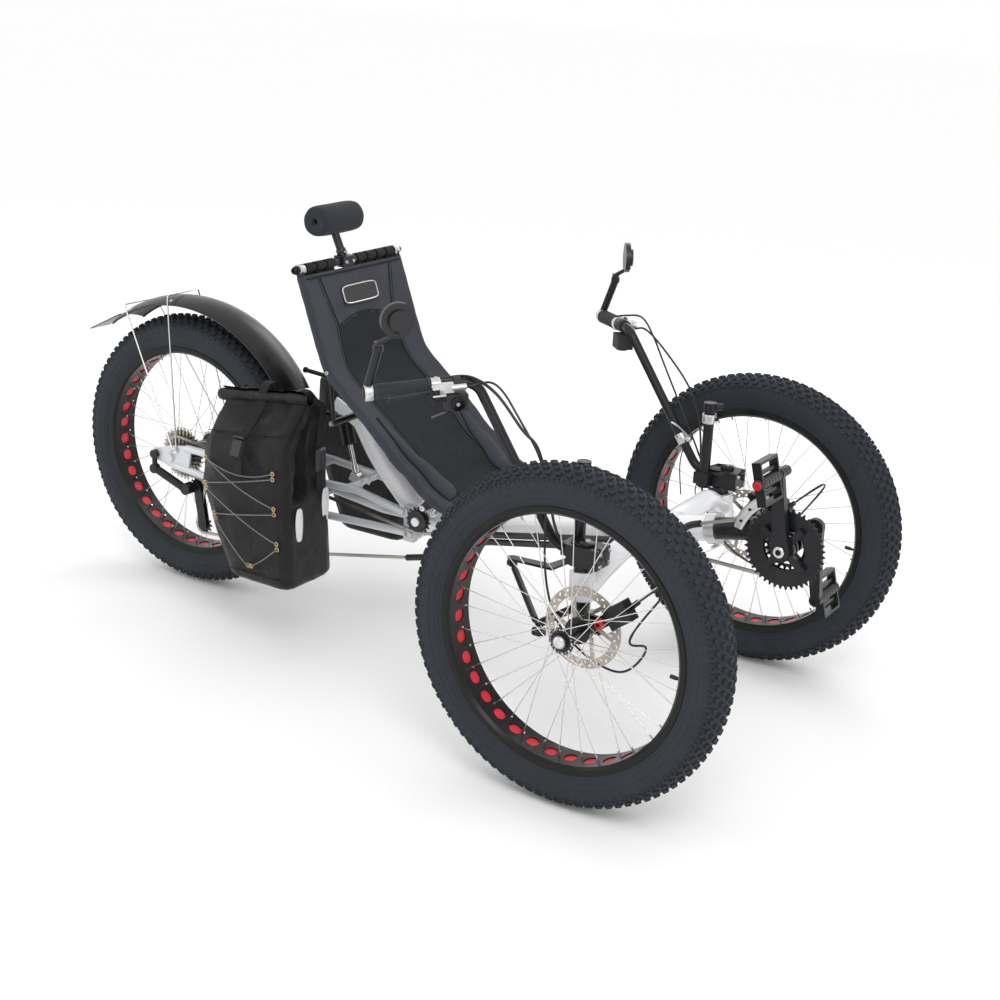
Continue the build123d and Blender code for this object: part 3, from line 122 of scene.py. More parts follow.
# --- materials
def make_material(name, colour, rough=0.5, metal=0.0, grain=200.0, bump=0.05, mottle=0.12,
                  coat=0.0, sheen=0.0, weave=0.0, rough_spread=0.1, specular=0.5, crumple=0.0):
    """Principled surface with fine grain, uneven tone and roughness, and optional weave and creases."""
    material = bpy.data.materials.new(name)
    material.use_nodes = True
    tree = material.node_tree
    shader = tree.nodes["Principled BSDF"]
    values = {"Metallic": metal, "Roughness": rough, "Coat Weight": coat, "Coat Roughness": 0.08,
              "Sheen Weight": sheen, "Specular IOR Level": specular, "Base Color": (*colour, 1)}
    for socket, value in values.items():
        shader.inputs[socket].default_value = value
    if not grain:
        return material
    place = tree.nodes.new("ShaderNodeTexCoord")
    tone = add_noise(tree, place, 14, 6)
    ramp = tree.nodes.new("ShaderNodeValToRGB")
    low, high = ramp.color_ramp.elements
    low.position, high.position = 0.3, 0.75
    low.color = (*[c * (1 - mottle) for c in colour], 1)
    high.color = (*[min(1, c * (1 + mottle)) for c in colour], 1)
    tree.links.new(tone, ramp.inputs["Fac"])
    tree.links.new(ramp.outputs["Color"], shader.inputs["Base Color"])
    spread = tree.nodes.new("ShaderNodeMapRange")
    spread.inputs["To Min"].default_value = max(0.02, rough - rough_spread)
    spread.inputs["To Max"].default_value = min(1, rough + rough_spread)
    tree.links.new(tone, spread.inputs["Value"])
    tree.links.new(spread.outputs["Result"], shader.inputs["Roughness"])
    height = add_noise(tree, place, grain, 3)
    if weave:
        for direction in ("X", "Y", "Z"):
            threads = tree.nodes.new("ShaderNodeTexWave")
            threads.bands_direction = direction
            threads.inputs["Scale"].default_value = weave
            threads.inputs["Distortion"].default_value = 0.6
            tree.links.new(place.outputs["Object"], threads.inputs["Vector"])
            height = add_heights(tree, threads.outputs["Fac"], 0.8, height)
    if crumple:
        height = add_heights(tree, add_noise(tree, place, 9, 2.5, distortion=1.4), crumple, height)
    relief = tree.nodes.new("ShaderNodeBump")
    relief.inputs["Strength"].default_value = bump
    relief.inputs["Distance"].default_value = 0.001
    tree.links.new(height, relief.inputs["Height"])
    tree.links.new(relief.outputs["Normal"], shader.inputs["Normal"])
    return material


def add_noise(tree, place, scale, detail, distortion=0.0):
    """Noise over the object's own coordinates."""
    node = tree.nodes.new("ShaderNodeTexNoise")
    node.inputs["Scale"].default_value = scale
    node.inputs["Detail"].default_value = detail
    node.inputs["Distortion"].default_value = distortion
    tree.links.new(place.outputs["Object"], node.inputs["Vector"])
    return node.outputs["Fac"]


def add_heights(tree, extra, size, height):
    """Add one height, size times over, to another."""
    mix = tree.nodes.new("ShaderNodeMath")
    mix.operation = "MULTIPLY_ADD"
    mix.inputs[1].default_value = size
    tree.links.new(extra, mix.inputs[0])
    tree.links.new(height, mix.inputs[2])
    return mix.outputs[0]


SURFACES = {
    "frame_white": dict(colour=(0.87, 0.88, 0.9), rough=0.25, coat=0.5, bump=0.01, mottle=0.01,
                        rough_spread=0.04),
    "black_metal": dict(colour=(0.010, 0.011, 0.013), rough=0.3, bump=0.02, specular=0.35),
    "grey_metal": dict(colour=(0.60, 0.63, 0.66), rough=0.3, metal=0.15, coat=0.4, bump=0.01, mottle=0.015,
                       rough_spread=0.03),
    "silver_alloy": dict(colour=(0.66, 0.66, 0.67), rough=0.3, metal=1.0, bump=0.03, mottle=0.08),
    "chrome": dict(colour=(0.72, 0.7, 0.68), rough=0.2, metal=1.0, bump=0.01, mottle=0.06),
    "steel": dict(colour=(0.42, 0.4, 0.36), rough=0.38, metal=1.0, bump=0.03, mottle=0.2),
    "disc_steel": dict(colour=(0.4, 0.36, 0.31), rough=0.34, metal=1.0, bump=0.05, mottle=0.15),
    "rim_black": dict(colour=(0.006, 0.006, 0.007), rough=0.3, bump=0.02, specular=0.25),
    "tyre_rubber": dict(colour=(0.019, 0.024, 0.030), rough=0.66, grain=420, bump=0.25, mottle=0.2,
                        specular=0.3),
    "grip_rubber": dict(colour=(0.022, 0.024, 0.027), rough=0.7, grain=700, bump=0.4),
    "cable_black": dict(colour=(0.014, 0.014, 0.016), rough=0.4, bump=0.05),
    "seat_mesh": dict(colour=(0.010, 0.013, 0.017), rough=0.85, weave=330, bump=0.7, sheen=0.06,
                      mottle=0.25, specular=0.2),
    "seat_cloth": dict(colour=(0.045, 0.049, 0.063), rough=0.9, weave=520, bump=0.5, sheen=0.08,
                       mottle=0.14, specular=0.25),
    "foam": dict(colour=(0.026, 0.030, 0.036), rough=0.95, grain=900, bump=0.8, sheen=0.08, specular=0.2),
    "bag_fabric": dict(colour=(0.003, 0.0032, 0.004), rough=0.3, grain=160, bump=0.5, weave=600,
                       mottle=0.3, rough_spread=0.14, specular=0.34, crumple=26),
    "webbing": dict(colour=(0.004, 0.004, 0.005), rough=0.75, weave=900, bump=0.8),
    "black_plastic": dict(colour=(0.012, 0.012, 0.014), rough=0.35, bump=0.06),
    "fender_plastic": dict(colour=(0.007, 0.0075, 0.009), rough=0.27, bump=0.05, specular=0.4),
    "tape_red": dict(colour=(0.7, 0.02, 0.03), rough=0.45, weave=500, bump=0.2),
    "cord_grey": dict(colour=(0.2, 0.21, 0.22), rough=0.7, weave=1500, bump=0.6),
    "brass": dict(colour=(0.62, 0.45, 0.2), rough=0.3, metal=1.0, bump=0.02),
    "trim_white": dict(colour=(0.8, 0.8, 0.8), rough=0.4, grain=600, bump=0.2, mottle=0.05),
    "knob_red": dict(colour=(0.55, 0.02, 0.03), rough=0.35, metal=0.4, bump=0.03),
    "bolt_dark": dict(colour=(0.03, 0.03, 0.032), rough=0.3, metal=1.0, bump=0.03),
    "mirror_face": dict(colour=(0.85, 0.86, 0.88), rough=0.03, metal=1.0, bump=0.0, mottle=0.01,
                        rough_spread=0.01),
}
MATERIALS = {name: make_material(name, **surface) for name, surface in SURFACES.items()}


def paint_cad():
    """Give every CAD node the surface of its material slot in the record."""
    for part in frame["record"]["subparts"]:
        node = nodes[part["node"]]
        node.data.materials.clear()
        node.data.materials.append(MATERIALS[part["material_slot"]])
        shade(node, 35)


def shade(piece, angle):
    """Smooth shading that keeps edges sharper than an angle in degrees."""
    bpy.context.view_layer.objects.active = piece
    for other in bpy.context.selected_objects:
        other.select_set(False)
    piece.select_set(True)
    bpy.ops.object.shade_smooth_by_angle(angle=radians(angle))


# --- mesh helpers
def at(x, y, z):
    """Row-frame point from millimetres: x from the front axle, y to the left, z up from the floor."""
    return Vector((FRONT_X + x * MM, y * MM, z * MM))


def circle(count):
    """Cosine and sine of angles spread evenly once round."""
    return [(cos(2 * pi * k / count), sin(2 * pi * k / count)) for k in range(count)]


def squarish(value, power):
    """Bend a cosine or sine so that a circle becomes a rounded rectangle."""
    return copysign(abs(value) ** power, value)


def wheel_directions(spin):
    """Outward and forward directions at an angle round a wheel."""
    return Vector((cos(spin), 0, sin(spin))), Vector((-sin(spin), 0, cos(spin)))


class Shape:
    """Vertices and faces gathered from many small forms, made into one piece at the end.

    Places are vectors in metres; widths, heights, radii and profiles are in millimetres.
    """

    def __init__(self):
        self.points = []
        self.faces = []
        self.kinds = []

    def grid(self, rows, wrap_rows=False, wrap_columns=False, kind=0):
        """Add a sheet of quads through rows of points. kind may be a function of row and column."""
        first = len(self.points)
        count, width = len(rows), len(rows[0])
        for row in rows:
            self.points.extend(Vector(p) for p in row)
        for i in range(count if wrap_rows else count - 1):
            for j in range(width if wrap_columns else width - 1):
                a = first + i * width + j
                b = first + i * width + (j + 1) % width
                c = first + ((i + 1) % count) * width + (j + 1) % width
                d = first + ((i + 1) % count) * width + j
                self.faces.append((a, b, c, d))
                self.kinds.append(kind(i, j) if callable(kind) else kind)

    def skin(self, rows, kind=0):
        """Add a closed form through rings of points, its ends drawn together at their middles."""
        width = len(rows[0])
        tips = [[sum(row, Vector()) / width] * width for row in (rows[0], rows[-1])]
        self.grid([tips[0]] + rows + [tips[1]], wrap_columns=True, kind=kind)

    def prism(self, centre, along, across, outward, base, top, height, kind=0):
        """Add a tapered block: base and top are (length, width) and it rises along outward."""
        first = len(self.points)
        for lift, (length, width) in ((0, base), (height, top)):
            for sx, sy in ((-1, -1), (1, -1), (1, 1), (-1, 1)):
                offset = along * (sx * length / 2) + across * (sy * width / 2) + outward * lift
                self.points.append(Vector(centre) + offset * MM)
        quads = ((3, 2, 1, 0), (4, 5, 6, 7), (0, 1, 5, 4), (1, 2, 6, 5), (2, 3, 7, 6), (3, 0, 4, 7))
        for quad in quads:
            self.faces.append(tuple(first + i for i in quad))
            self.kinds.append(kind)

    def tube(self, path, radius, around=10, kind=0, closed=False):
        """Add a round tube through a list of points."""
        path = [Vector(p) for p in path]
        rows = []
        side = None
        for i, point in enumerate(path):
            before = path[i - 1] if i or closed else point
            after = path[(i + 1) % len(path)] if i < len(path) - 1 or closed else point
            along = (after - before).normalized()
            if side is None:
                side = along.orthogonal().normalized()
            side = (side - along * side.dot(along)).normalized()
            other = along.cross(side)
            rows.append([point + (side * a + other * b) * radius * MM for a, b in circle(around)])
        if closed:
            self.grid(rows, wrap_rows=True, wrap_columns=True, kind=kind)
        else:
            self.skin(rows, kind=kind)

    def lathe(self, centre, axis, profile, segments=32, kind=0):
        """Add a turned form from (radius, distance along the axis) pairs."""
        centre, axis = Vector(centre), Vector(axis).normalized()
        side = axis.orthogonal().normalized()
        other = axis.cross(side)
        rows = []
        for a, b in circle(segments):
            outward = side * a + other * b
            rows.append([centre + (axis * h + outward * r) * MM for r, h in profile])
        self.grid(rows, wrap_rows=True, kind=kind)

    def build(self, name, body, materials, replaces=(), smooth=35, levels=0):
        """Make the gathered forms into one piece that rides a body; materials are picked by kind."""
        mesh = bpy.data.meshes.new(name)
        mesh.from_pydata(self.points, [], self.faces)
        for material in materials:
            mesh.materials.append(MATERIALS[material])
        mesh.polygons.foreach_set("material_index", self.kinds)
        mesh.validate()
        piece = bpy.data.objects.new(name, mesh)
        bpy.context.scene.collection.objects.link(piece)
        tidy_mesh(piece)
        if levels:
            soft = piece.modifiers.new("soft", "SUBSURF")
            soft.levels = soft.render_levels = levels
        shade(piece, smooth)
        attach(piece, body)
        if replaces:
            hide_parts(*replaces)
        return piece


def tidy_mesh(piece):
    """Join points that fall together and turn every face outward."""
    work = bmesh.new()
    work.from_mesh(piece.data)
    bmesh.ops.remove_doubles(work, verts=work.verts, dist=0.02 * MM)
    bmesh.ops.recalc_face_normals(work, faces=work.faces)
    work.to_mesh(piece.data)
    work.free()


def smooth_path(points, steps=12):
    """Points of a smooth curve through the given ones."""
    points = [Vector(p) for p in points]
    padded = [points[0] * 2 - points[1]] + points + [points[-1] * 2 - points[-2]]
    path = []
    for i in range(1, len(padded) - 2):
        p0, p1, p2, p3 = padded[i - 1:i + 3]
        for k in range(steps):
            t = k / steps
            path.append(0.5 * (2 * p1 + (p2 - p0) * t + (2 * p0 - 5 * p1 + 4 * p2 - p3) * t * t
                               + (3 * p1 - p0 - 3 * p2 + p3) * t ** 3))
    path.append(points[-1])
    return path


# --- tyres and rims
CROWN_RADIUS = 64.4
CROWN_CENTRE = 307.6
KNOB_HEIGHT = 5.4
CASING_RADIUS = CROWN_RADIUS - KNOB_HEIGHT
KNOBS_ROUND = 92
# One round of tread blocks: lean from the middle in degrees, shift in blocks, length and width.
KNOB_ROWS = (
    (-8, 0.0, 12, 11), (8, 0.5, 12, 11), (-24, 0.5, 11, 9), (24, 0.0, 11, 9),
    (-38, 0.0, 13, 9), (38, 0.5, 13, 9), (-49, 0.5, 9, 6), (49, 0.0, 9, 6),
)
# Half sections of the casing as radius and half width: its outside below the tread, and its inside.
TYRE_SIDE = (
    (281, 39.2), (286, 39.4), (292, 42), (300, 46.2), (312, 49.2), (327, 49.8), (340, 48), (350, 43.5),
)
TYRE_INSIDE = ((283, 34), (300, 40), (327, 44), (350, 33))


def add_side_mark(shape, centre, radial, forward, side):
    """One hollow square moulded into the tyre's shoulder and a small lug below it."""
    outward = (LEFT * side + radial * 0.35).normalized()
    climb = (radial - outward * radial.dot(outward)).normalized()
    middle = centre + (radial * 344 + LEFT * side * 45.3) * MM
    for shift in (-5.2, 5.2):
        for offset, run in ((forward, climb), (climb, forward)):
            shape.prism(middle + offset * shift * MM, run, offset, outward, (12, 2), (11, 1.4), 2)
    lug = centre + (radial * 330 + LEFT * side * 48.4) * MM
    shape.prism(lug, forward, radial, LEFT * side, (5, 4), (4, 3), 1.8)


def tyre_profile():
    """Closed section of the tyre's casing, outside from the right edge to the left and back inside."""
    crown = []
    for step in range(-10, 11):
        angle = radians(step * 3.6)
        crown.append((CROWN_CENTRE + CASING_RADIUS * cos(angle), CASING_RADIUS * sin(angle)))
    outside = [(r, -y) for r, y in TYRE_SIDE] + crown + [(r, y) for r, y in reversed(TYRE_SIDE)]
    inside = list(TYRE_INSIDE) + [(362, 0)] + [(r, -y) for r, y in reversed(TYRE_INSIDE)]
    return outside + inside + outside[:1]


def make_tyre(name, node, body, centre):
    """Fat tyre: smooth casing, rows of tread blocks and moulded side marks."""
    shape = Shape()
    centre = Vector(centre)
    shape.lathe(centre, LEFT, tyre_profile(), segments=192)
    for turn in range(KNOBS_ROUND):
        for lean, shift, length, width in KNOB_ROWS:
            radial, forward = wheel_directions(2 * pi * (turn + shift) / KNOBS_ROUND)
            tilt = radians(lean)
            outward = radial * cos(tilt) + LEFT * sin(tilt)
            across = LEFT * cos(tilt) - radial * sin(tilt)
            foot = centre + (radial * CROWN_CENTRE + outward * (CASING_RADIUS - 0.6)) * MM
            height = KNOB_HEIGHT + 0.4 if abs(lean) < 40 else KNOB_HEIGHT - 1.6
            top = (length * 0.78, width * 0.74)
            shape.prism(foot, forward, across, outward, (length, width), top, height)
        for side in (-1, 1):
            radial, forward = wheel_directions(2 * pi * (turn + 0.5 * (side > 0)) / KNOBS_ROUND)
            add_side_mark(shape, centre, radial, forward, side)
    for side in (-1, 1):
        for radius, depth in ((296, 43.9), (318, 49.3), (304, 47.0)):
            ring = [centre + Vector((a * radius, side * depth, b * radius)) * MM for a, b in circle(128)]
            shape.tube(ring, 0.9, around=6, closed=True)
    shape.build(name, body, ["tyre_rubber"], replaces=[node], smooth=28)


def make_rim_tape(name, body, centre):
    """Red woven tape that shows through the rim's windows."""
    shape = Shape()
    profile = [(272.9, -26), (272.9, 26), (273.6, 26), (273.6, -26), (272.9, -26)]
    shape.lathe(centre, LEFT, profile, segments=144)
    shape.build(name, body, ["tape_red"])


def make_spoke_nipples(name, body, centre):
    """Small nipples where the spokes meet the rim, and a valve stem."""
    shape = Shape()
    centre = Vector(centre)
    for spoke in range(36):
        radial = wheel_directions(2 * pi * spoke / 36)[0]
        foot = centre + (radial * 270 + LEFT * (-1) ** spoke * 7) * MM
        shape.tube([foot, foot - radial * 12 * MM], 2.2, around=8)
    radial = wheel_directions(2 * pi * 35.5 / 36)[0]
    foot = centre + radial * 271 * MM
    neck = foot - radial * 20 * MM
    shape.tube([foot, neck], 3.2, kind=1)
    shape.tube([neck, neck - radial * 14 * MM], 4.6, kind=1)
    shape.build(name, body, ["chrome", "black_plastic"])


def make_hub_cap(name, body, centre, side):
    """Domed silver cap with a socket on the outer end of the hub, and the spoke heads."""
    shape = Shape()
    centre = Vector(centre)
    profile = [(0, 3.5), (3.5, 3.5), (3.8, 5.4), (9, 4.6), (13, 2.2), (14.5, -1), (14.5, -3), (0, -3)]
    shape.lathe(centre + LEFT * side * 41 * MM, LEFT * side, profile)
    for a, b in circle(18):
        for flange in (-37.4, 30.2):
            head = centre + Vector((25 * a, side * flange, 25 * b)) * MM
            shape.prism(head, FORWARD, UP, LEFT * side, (3.4, 3.4), (2.2, 2.2), 1.4)
    shape.build(name, body, ["silver_alloy"])


def make_wheels():
    """Tyre, tape and nipples of the three wheels, and the front hubs' caps."""
    rear = (REAR_X, 0, AXLE_Z)
    make_tyre("tread_rear", "tyre_rear", "rear_wheel", rear)
    make_rim_tape("rim_tape_rear", "rear_wheel", rear)
    make_spoke_nipples("nipples_rear", "rear_wheel", rear)
    for name, side in SIDES:
        centre = (FRONT_X, side * 0.472, AXLE_Z)
        body = f"front_wheel_{name}"
        make_tyre(f"tread_front_{name}", f"tyre_front_{name}", body, centre)
        make_rim_tape(f"rim_tape_front_{name}", body, centre)
        make_spoke_nipples(f"nipples_front_{name}", body, centre)
        make_hub_cap(f"hub_cap_{name}", body, centre, side)


# --- seat
# The rails' side line as (x, z) in millimetres, from the top bar down to the front edge.
SEAT_PROFILE = (
    (-937, 946), (-907, 868), (-877, 789), (-847, 724), (-800, 681), (-743, 635),
    (-690, 589), (-644, 546), (-606, 521), (-562, 484), (-503, 457), (-458, 452),
)
RAIL_Y = 0.192
WRAP_RADIUS = 11.0 * MM
RAIL_SHARE = 0.72  # share of the sling's half width that lies between the middle and the rail
SEAT_SAMPLES = 121


def seat_line():
    """Evenly spread points of the seat's side line with the outward normals, from the top down."""
    path = smooth_path([at(x, 0, z) for x, z in SEAT_PROFILE], 10)
    lengths = [0]
    for a, b in zip(path, path[1:]):
        lengths.append(lengths[-1] + (b - a).length)
    line = []
    k = 0
    for i in range(SEAT_SAMPLES):
        want = lengths[-1] * i / (SEAT_SAMPLES - 1)
        while k < len(path) - 2 and lengths[k + 1] < want:
            k += 1
        share = (want - lengths[k]) / (lengths[k + 1] - lengths[k])
        line.append(path[k].lerp(path[k + 1], share))
    normals = []
    for i in range(SEAT_SAMPLES):
        along = (line[min(i + 1, SEAT_SAMPLES - 1)] - line[max(i - 1, 0)]).normalized()
        normals.append(along.cross(LEFT).normalized())
    return line, normals


SEAT_LINE, SEAT_NORMALS = seat_line()


def border_edge(share):
    """Where the plain border's seam runs, as a share of the half width with its wrap."""
    if share < 0.18:
        return 0.53 - 0.12 * share / 0.18
    return 0.41 + 0.04 * sin(pi * min(1, (share - 0.18) / 0.5))


def arch_line(across):
    """How far down the seat the arched seam lies, highest in the middle."""
    return 0.19 - 0.035 * cos(min(1, across / 0.44) * pi / 2)


def sling_lift(share, across):
    """Height of the sling's face over the rails' line; it hangs lowest in the middle."""
    if across > RAIL_SHARE:
        return WRAP_RADIUS
    sag = 16 * MM * sin(pi * min(1, max(0, share * 1.02))) ** 0.7
    return WRAP_RADIUS - sag * cos(across / RAIL_SHARE * pi / 2) ** 0.8


def sling_point(share, across, lift=0.5 * MM):
    """A point on the sling's face. across is negative on the rider's right."""
    spot = share * (SEAT_SAMPLES - 1)
    i = min(int(spot), SEAT_SAMPLES - 2)
    base = SEAT_LINE[i].lerp(SEAT_LINE[i + 1], spot - i)
    normal = SEAT_NORMALS[i].lerp(SEAT_NORMALS[i + 1], spot - i).normalized()
    return base + normal * (sling_lift(share, abs(across)) + lift) + LEFT * (RAIL_Y * across / RAIL_SHARE)


def make_seat():
    """Sling with a mesh middle and plain borders that wrap round both rails, its piping and bolsters."""
    half = 36
    shape = Shape()
    rows = []
    for i in range(SEAT_SAMPLES):
        share = i / (SEAT_SAMPLES - 1)
        row = []
        for j in range(-half, half + 1):
            across = abs(j) / half
            sign = 1 if j > 0 else -1
            if across > RAIL_SHARE:
                turn = (across - RAIL_SHARE) / (1 - RAIL_SHARE) * radians(235)
                y = RAIL_Y + WRAP_RADIUS * sin(turn)
                lift = WRAP_RADIUS * cos(turn)
            else:
                y = RAIL_Y * across / RAIL_SHARE
                lift = sling_lift(share, across)
            wrinkle = 0.5 * MM * sin(share * 90 + j * 0.5) * sin(j * 0.9 + share * 23)
            row.append(SEAT_LINE[i] + SEAT_NORMALS[i] * (lift + wrinkle) + LEFT * sign * y)
        rows.append(row)

    def panel(i, j):
        """Mesh (0) between the borders and below the arch, plain cloth (1) elsewhere."""
        share = i / (SEAT_SAMPLES - 1)
        across = abs(j - half + 0.5) / half
        return 0 if across < border_edge(share) and arch_line(across) < share < 0.95 else 1

    shape.grid(rows, kind=panel)
    seat = shape.build("seat_sling", "frame", ["seat_mesh", "seat_cloth"],
                       replaces=["seat_cover"])
    thick = seat.modifiers.new("thickness", "SOLIDIFY")
    thick.thickness = 2.2 * MM
    thick.offset = -1
    bpy.context.view_layer.objects.active = seat
    bpy.ops.object.modifier_apply(modifier=thick.name)

    piping = Shape()
    for sign in (-1, 1):
        for shift, radius in ((0, 1.6), (0.035, 0.7)):
            run = [sling_point(k / 120, sign * (border_edge(k / 120) + shift)) for k in range(2, 115)]
            piping.tube(run, radius, around=8)
    arch = [0.415 * k / 20 for k in range(-20, 21)]
    piping.tube([sling_point(arch_line(abs(across)), across) for across in arch], 1.3, around=8)
    for share in (0.012, 0.988):
        piping.tube([sling_point(share, 0.7 * k / 20) for k in range(-20, 21)], 2.4)
    piping.build("seat_piping", "frame", ["webbing"])
    for name, side in SIDES:
        make_bolster(name, side)


def make_lacing():
    """Short webbing loops that hold the sling's top edge to the top bar."""
    shape = Shape()
    for k in range(-4, 5):
        y = k * 40
        if abs(y + 16) < 40:
            continue
        loop = []
        for step in range(9):
            angle = radians(-60 + 250 * step / 8)
            loop.append(at(-944 + 12 * cos(angle), y, 962 + 12 * sin(angle)))
        loop.insert(0, at(-926, y, 930))
        loop.append(at(-940, y, 926))
        add_strap(shape, loop, LEFT, 30, 1.6)
    shape.build("seat_lacing", "frame", ["webbing"])


def make_bolster(name, side):
    """Padded teardrop beside the thigh, narrow at the back and round at the front, with piped edges."""
    shape = Shape()
    rows = []
    outer_run = []
    inner_run = []
    for i in range(49):
        share = i / 48
        place = 0.54 + 0.38 * share
        full = share ** 0.75 * (1 if share < 0.8 else sqrt(max(0, 1 - ((share - 0.8) / 0.2) ** 2)))
        wide = 0.004 + 0.13 * full
        middle_across = 0.6 - wide
        ring = []
        for k, (a, b) in enumerate(circle(28)):
            tall = (17 * full + 0.5) * b * (1 if b > 0 else 0.25)
            pinch = 0.5 * full * noise.noise(Vector((share * 9, k * 0.4, side * 5)))
            ring.append(sling_point(place, side * (middle_across + wide * a), (1.2 + tall + pinch) * MM))
        rows.append(ring)
        outer_run.append(sling_point(place, side * (middle_across + wide), 1.6 * MM))
        inner_run.append(sling_point(place, side * (middle_across - wide), 1.6 * MM))
    shape.skin(rows)
    shape.tube(outer_run, 1.7, around=8, kind=1)
    shape.tube(inner_run, 1.3, around=8, kind=1)
    piece = shape.build(f"seat_bolster_{name}", "frame", ["seat_cloth", "webbing"])


def make_headrest():
    """Soft foam roll with rounded ends and a hole along its middle."""
    centre = at(-990, 0, 1058)
    shape = Shape()
    rows = []
    for y in (-79, -77, -70, -50, -25, 0, 25, 50, 70, 77, 79):
        taper = 1 if abs(y) < 60 else 0.97 if abs(y) < 75 else 0.9 if abs(y) < 78 else 0.78
        ring = []
        for k in range(40):
            angle = 2 * pi * k / 40
            radius = 38 * MM * taper * (1 + 0.012 * sin(3 * angle + y * 0.05) + 0.008 * sin(7 * angle))
            ring.append(centre + Vector((radius * cos(angle), y * MM, radius * sin(angle))))
        rows.append(ring)
    for radius, y in ((9.5, 78), (7.5, 76), (7, 62), (0, 62)):
        ring = [Vector((a, 0, b)) * radius * MM for a, b in circle(40)]
        rows.insert(0, [centre + spoke - LEFT * y * MM for spoke in ring])
        rows.append([centre + spoke + LEFT * y * MM for spoke in ring])
    shape.grid(rows, wrap_columns=True)
    roll = shape.build("headrest_roll", "frame", ["foam"], replaces=["headrest_pad"], levels=1)
    core = Shape()
    for side in (1, -1):
        core.tube([centre + LEFT * side * 61 * MM, centre + LEFT * side * 64 * MM], 6.8, around=20)
    core.build("headrest_core", "frame", ["bolt_dark"])


# --- bags
# Millimetres: distance from the middle of the tricycle, and (height, x) of the back and front edges.
BAG_INNER, BAG_OUTER = 138, 316
BAG_BACK = ((196, -1062), (310, -1112), (420, -1156), (520, -1154), (606, -1148), (700, -1150))
BAG_FRONT = ((194, -866), (310, -874), (420, -882), (530, -884), (644, -886), (700, -884))
BAG_SLOPE_FROM = 0.74


def between(table, value):
    """Straight-line reading of a table of (value, result) pairs."""
    for (v0, r0), (v1, r1) in zip(table, table[1:]):
        if value <= v1:
            share = max(0, (value - v0) / (v1 - v0))
            return r0 + (r1 - r0) * share
    return table[-1][1]


def bag_point(side, along, depth, height, lift=0):
    """A point of the bag. along 0 back to 1 front, depth 0 wheel side to 1 outer side, height 0 to 1."""
    level = 195 + 430 * height
    back = between(BAG_BACK, level)
    front = between(BAG_FRONT, level)
    slope = max(0, (height - BAG_SLOPE_FROM) / (1 - BAG_SLOPE_FROM))
    slope = slope * slope * (3 - 2 * slope)
    inner = BAG_INNER + 62 * max(0, (height - 0.93) / 0.07)
    outer = BAG_OUTER - 80 * slope
    x = back + (front - back) * along
    y = inner + (outer - inner) * depth
    z = level + 36 * along * height
    swell = sin(pi * min(1, max(0, height))) * sin(pi * min(1, max(0, along)))
    if depth > 0.5:
        y += 9 * swell + lift
    return Vector((FRONT_X + x * MM, side * y * MM, z * MM))


def make_bag(name, side):
    """One bag: a sagging shell with a tucked front end, and its rolled top edge."""
    shape = Shape()
    corner = 0.13
    ring = []
    corners = ((0, 1), (1, 1), (1, 0), (0, 0), (0, 1))
    for side_index, (start, end) in enumerate(zip(corners, corners[1:])):
        count = 26 if side_index % 2 == 0 else 22
        for k in range(count):
            share = corner + (1 - 2 * corner) * k / (count - 1)
            ring.append((start[0] + (end[0] - start[0]) * share, start[1] + (end[1] - start[1]) * share))
        ring.append((end[0] + (0.5 - end[0]) * 0.07, end[1] + (0.5 - end[1]) * 0.07))
    rows = []
    levels = [(0.0, 0.85), (0.0, 0.5), (0.0, 0.2), (0.004, 0.07), (0.02, 0.015)]
    levels += [(0.04 + 0.96 * k / 60, 0) for k in range(61)]
    for height, inset in levels:
        row = []
        for along, depth in ring:
            point = bag_point(side, along + (0.5 - along) * inset, depth + (0.5 - depth) * inset, height)
            row.append(point + bag_wrinkle(point, along, depth, height, side))
        rows.append(row)
    shape.skin(rows)
    roll_start, roll_end = at(-1157, side * 227, 628), at(-879, side * 227, 662)
    turns = []
    along = (roll_end - roll_start).normalized()
    above = LEFT.cross(along)
    for k in range(66):
        angle = -pi / 2 + 2 * pi * 2.4 * k / 65
        radius = (18 - 5.2 * 2.4 * k / 65) * MM
        turns.append((radius * cos(angle), radius * sin(angle)))
    rows = []
    for step in range(25):
        share = step / 24
        centre = roll_start.lerp(roll_end, share)
        waver = 1 + 0.09 * sin(share * 17) + 0.05 * sin(share * 41)
        rows.append([centre + (LEFT * a + above * b) * waver for a, b in turns])
    shape.grid(rows)
    bag = shape.build(f"bag_{name}", "frame", ["bag_fabric"], replaces=[f"pannier_{name}"],
                      smooth=60)
    make_bag_trim(name, side)


def bag_wrinkle(point, along, depth, height, side):
    """Soft creases, deeper toward the rolled top, pushed outward from the bag's middle."""
    place = Vector((point.x * 13, abs(point.y) * 13, point.z * 5)) + Vector((side * 3, 0, point.x * 4))
    crease = 1 - 2.4 * abs(noise.noise(place))
    turned = Vector((point.z * 15 + point.x * 12, abs(point.y) * 9, point.x * 7 - point.z * 6))
    slanted = 1 - 2.2 * abs(noise.noise(turned))
    size = (3.2 + 7 * max(0, height - 0.5)) * MM
    outward = Vector((along - 0.5, side * (depth - 0.5), 0))
    if depth < 0.1:
        size *= 0.2
    push = outward.normalized() * (crease * size + slanted * size * 0.7 - size * 1.3)
    return push - Vector((gusset_fold(depth, height) if along > 0.98 else 0, 0, 0))


def gusset_fold(depth, height):
    """Depth of the pleat tucked into the bag's front end: a wedge with its point near the top."""
    if not 0.46 < height < 0.92:
        return 0
    half = 0.03 + 0.15 * (0.92 - height) / 0.46
    inside = max(0, 1 - abs(depth - 0.64) / half)
    lip = min(1, (height - 0.46) / 0.05)
    return 30 * MM * inside ** 0.6 * lip


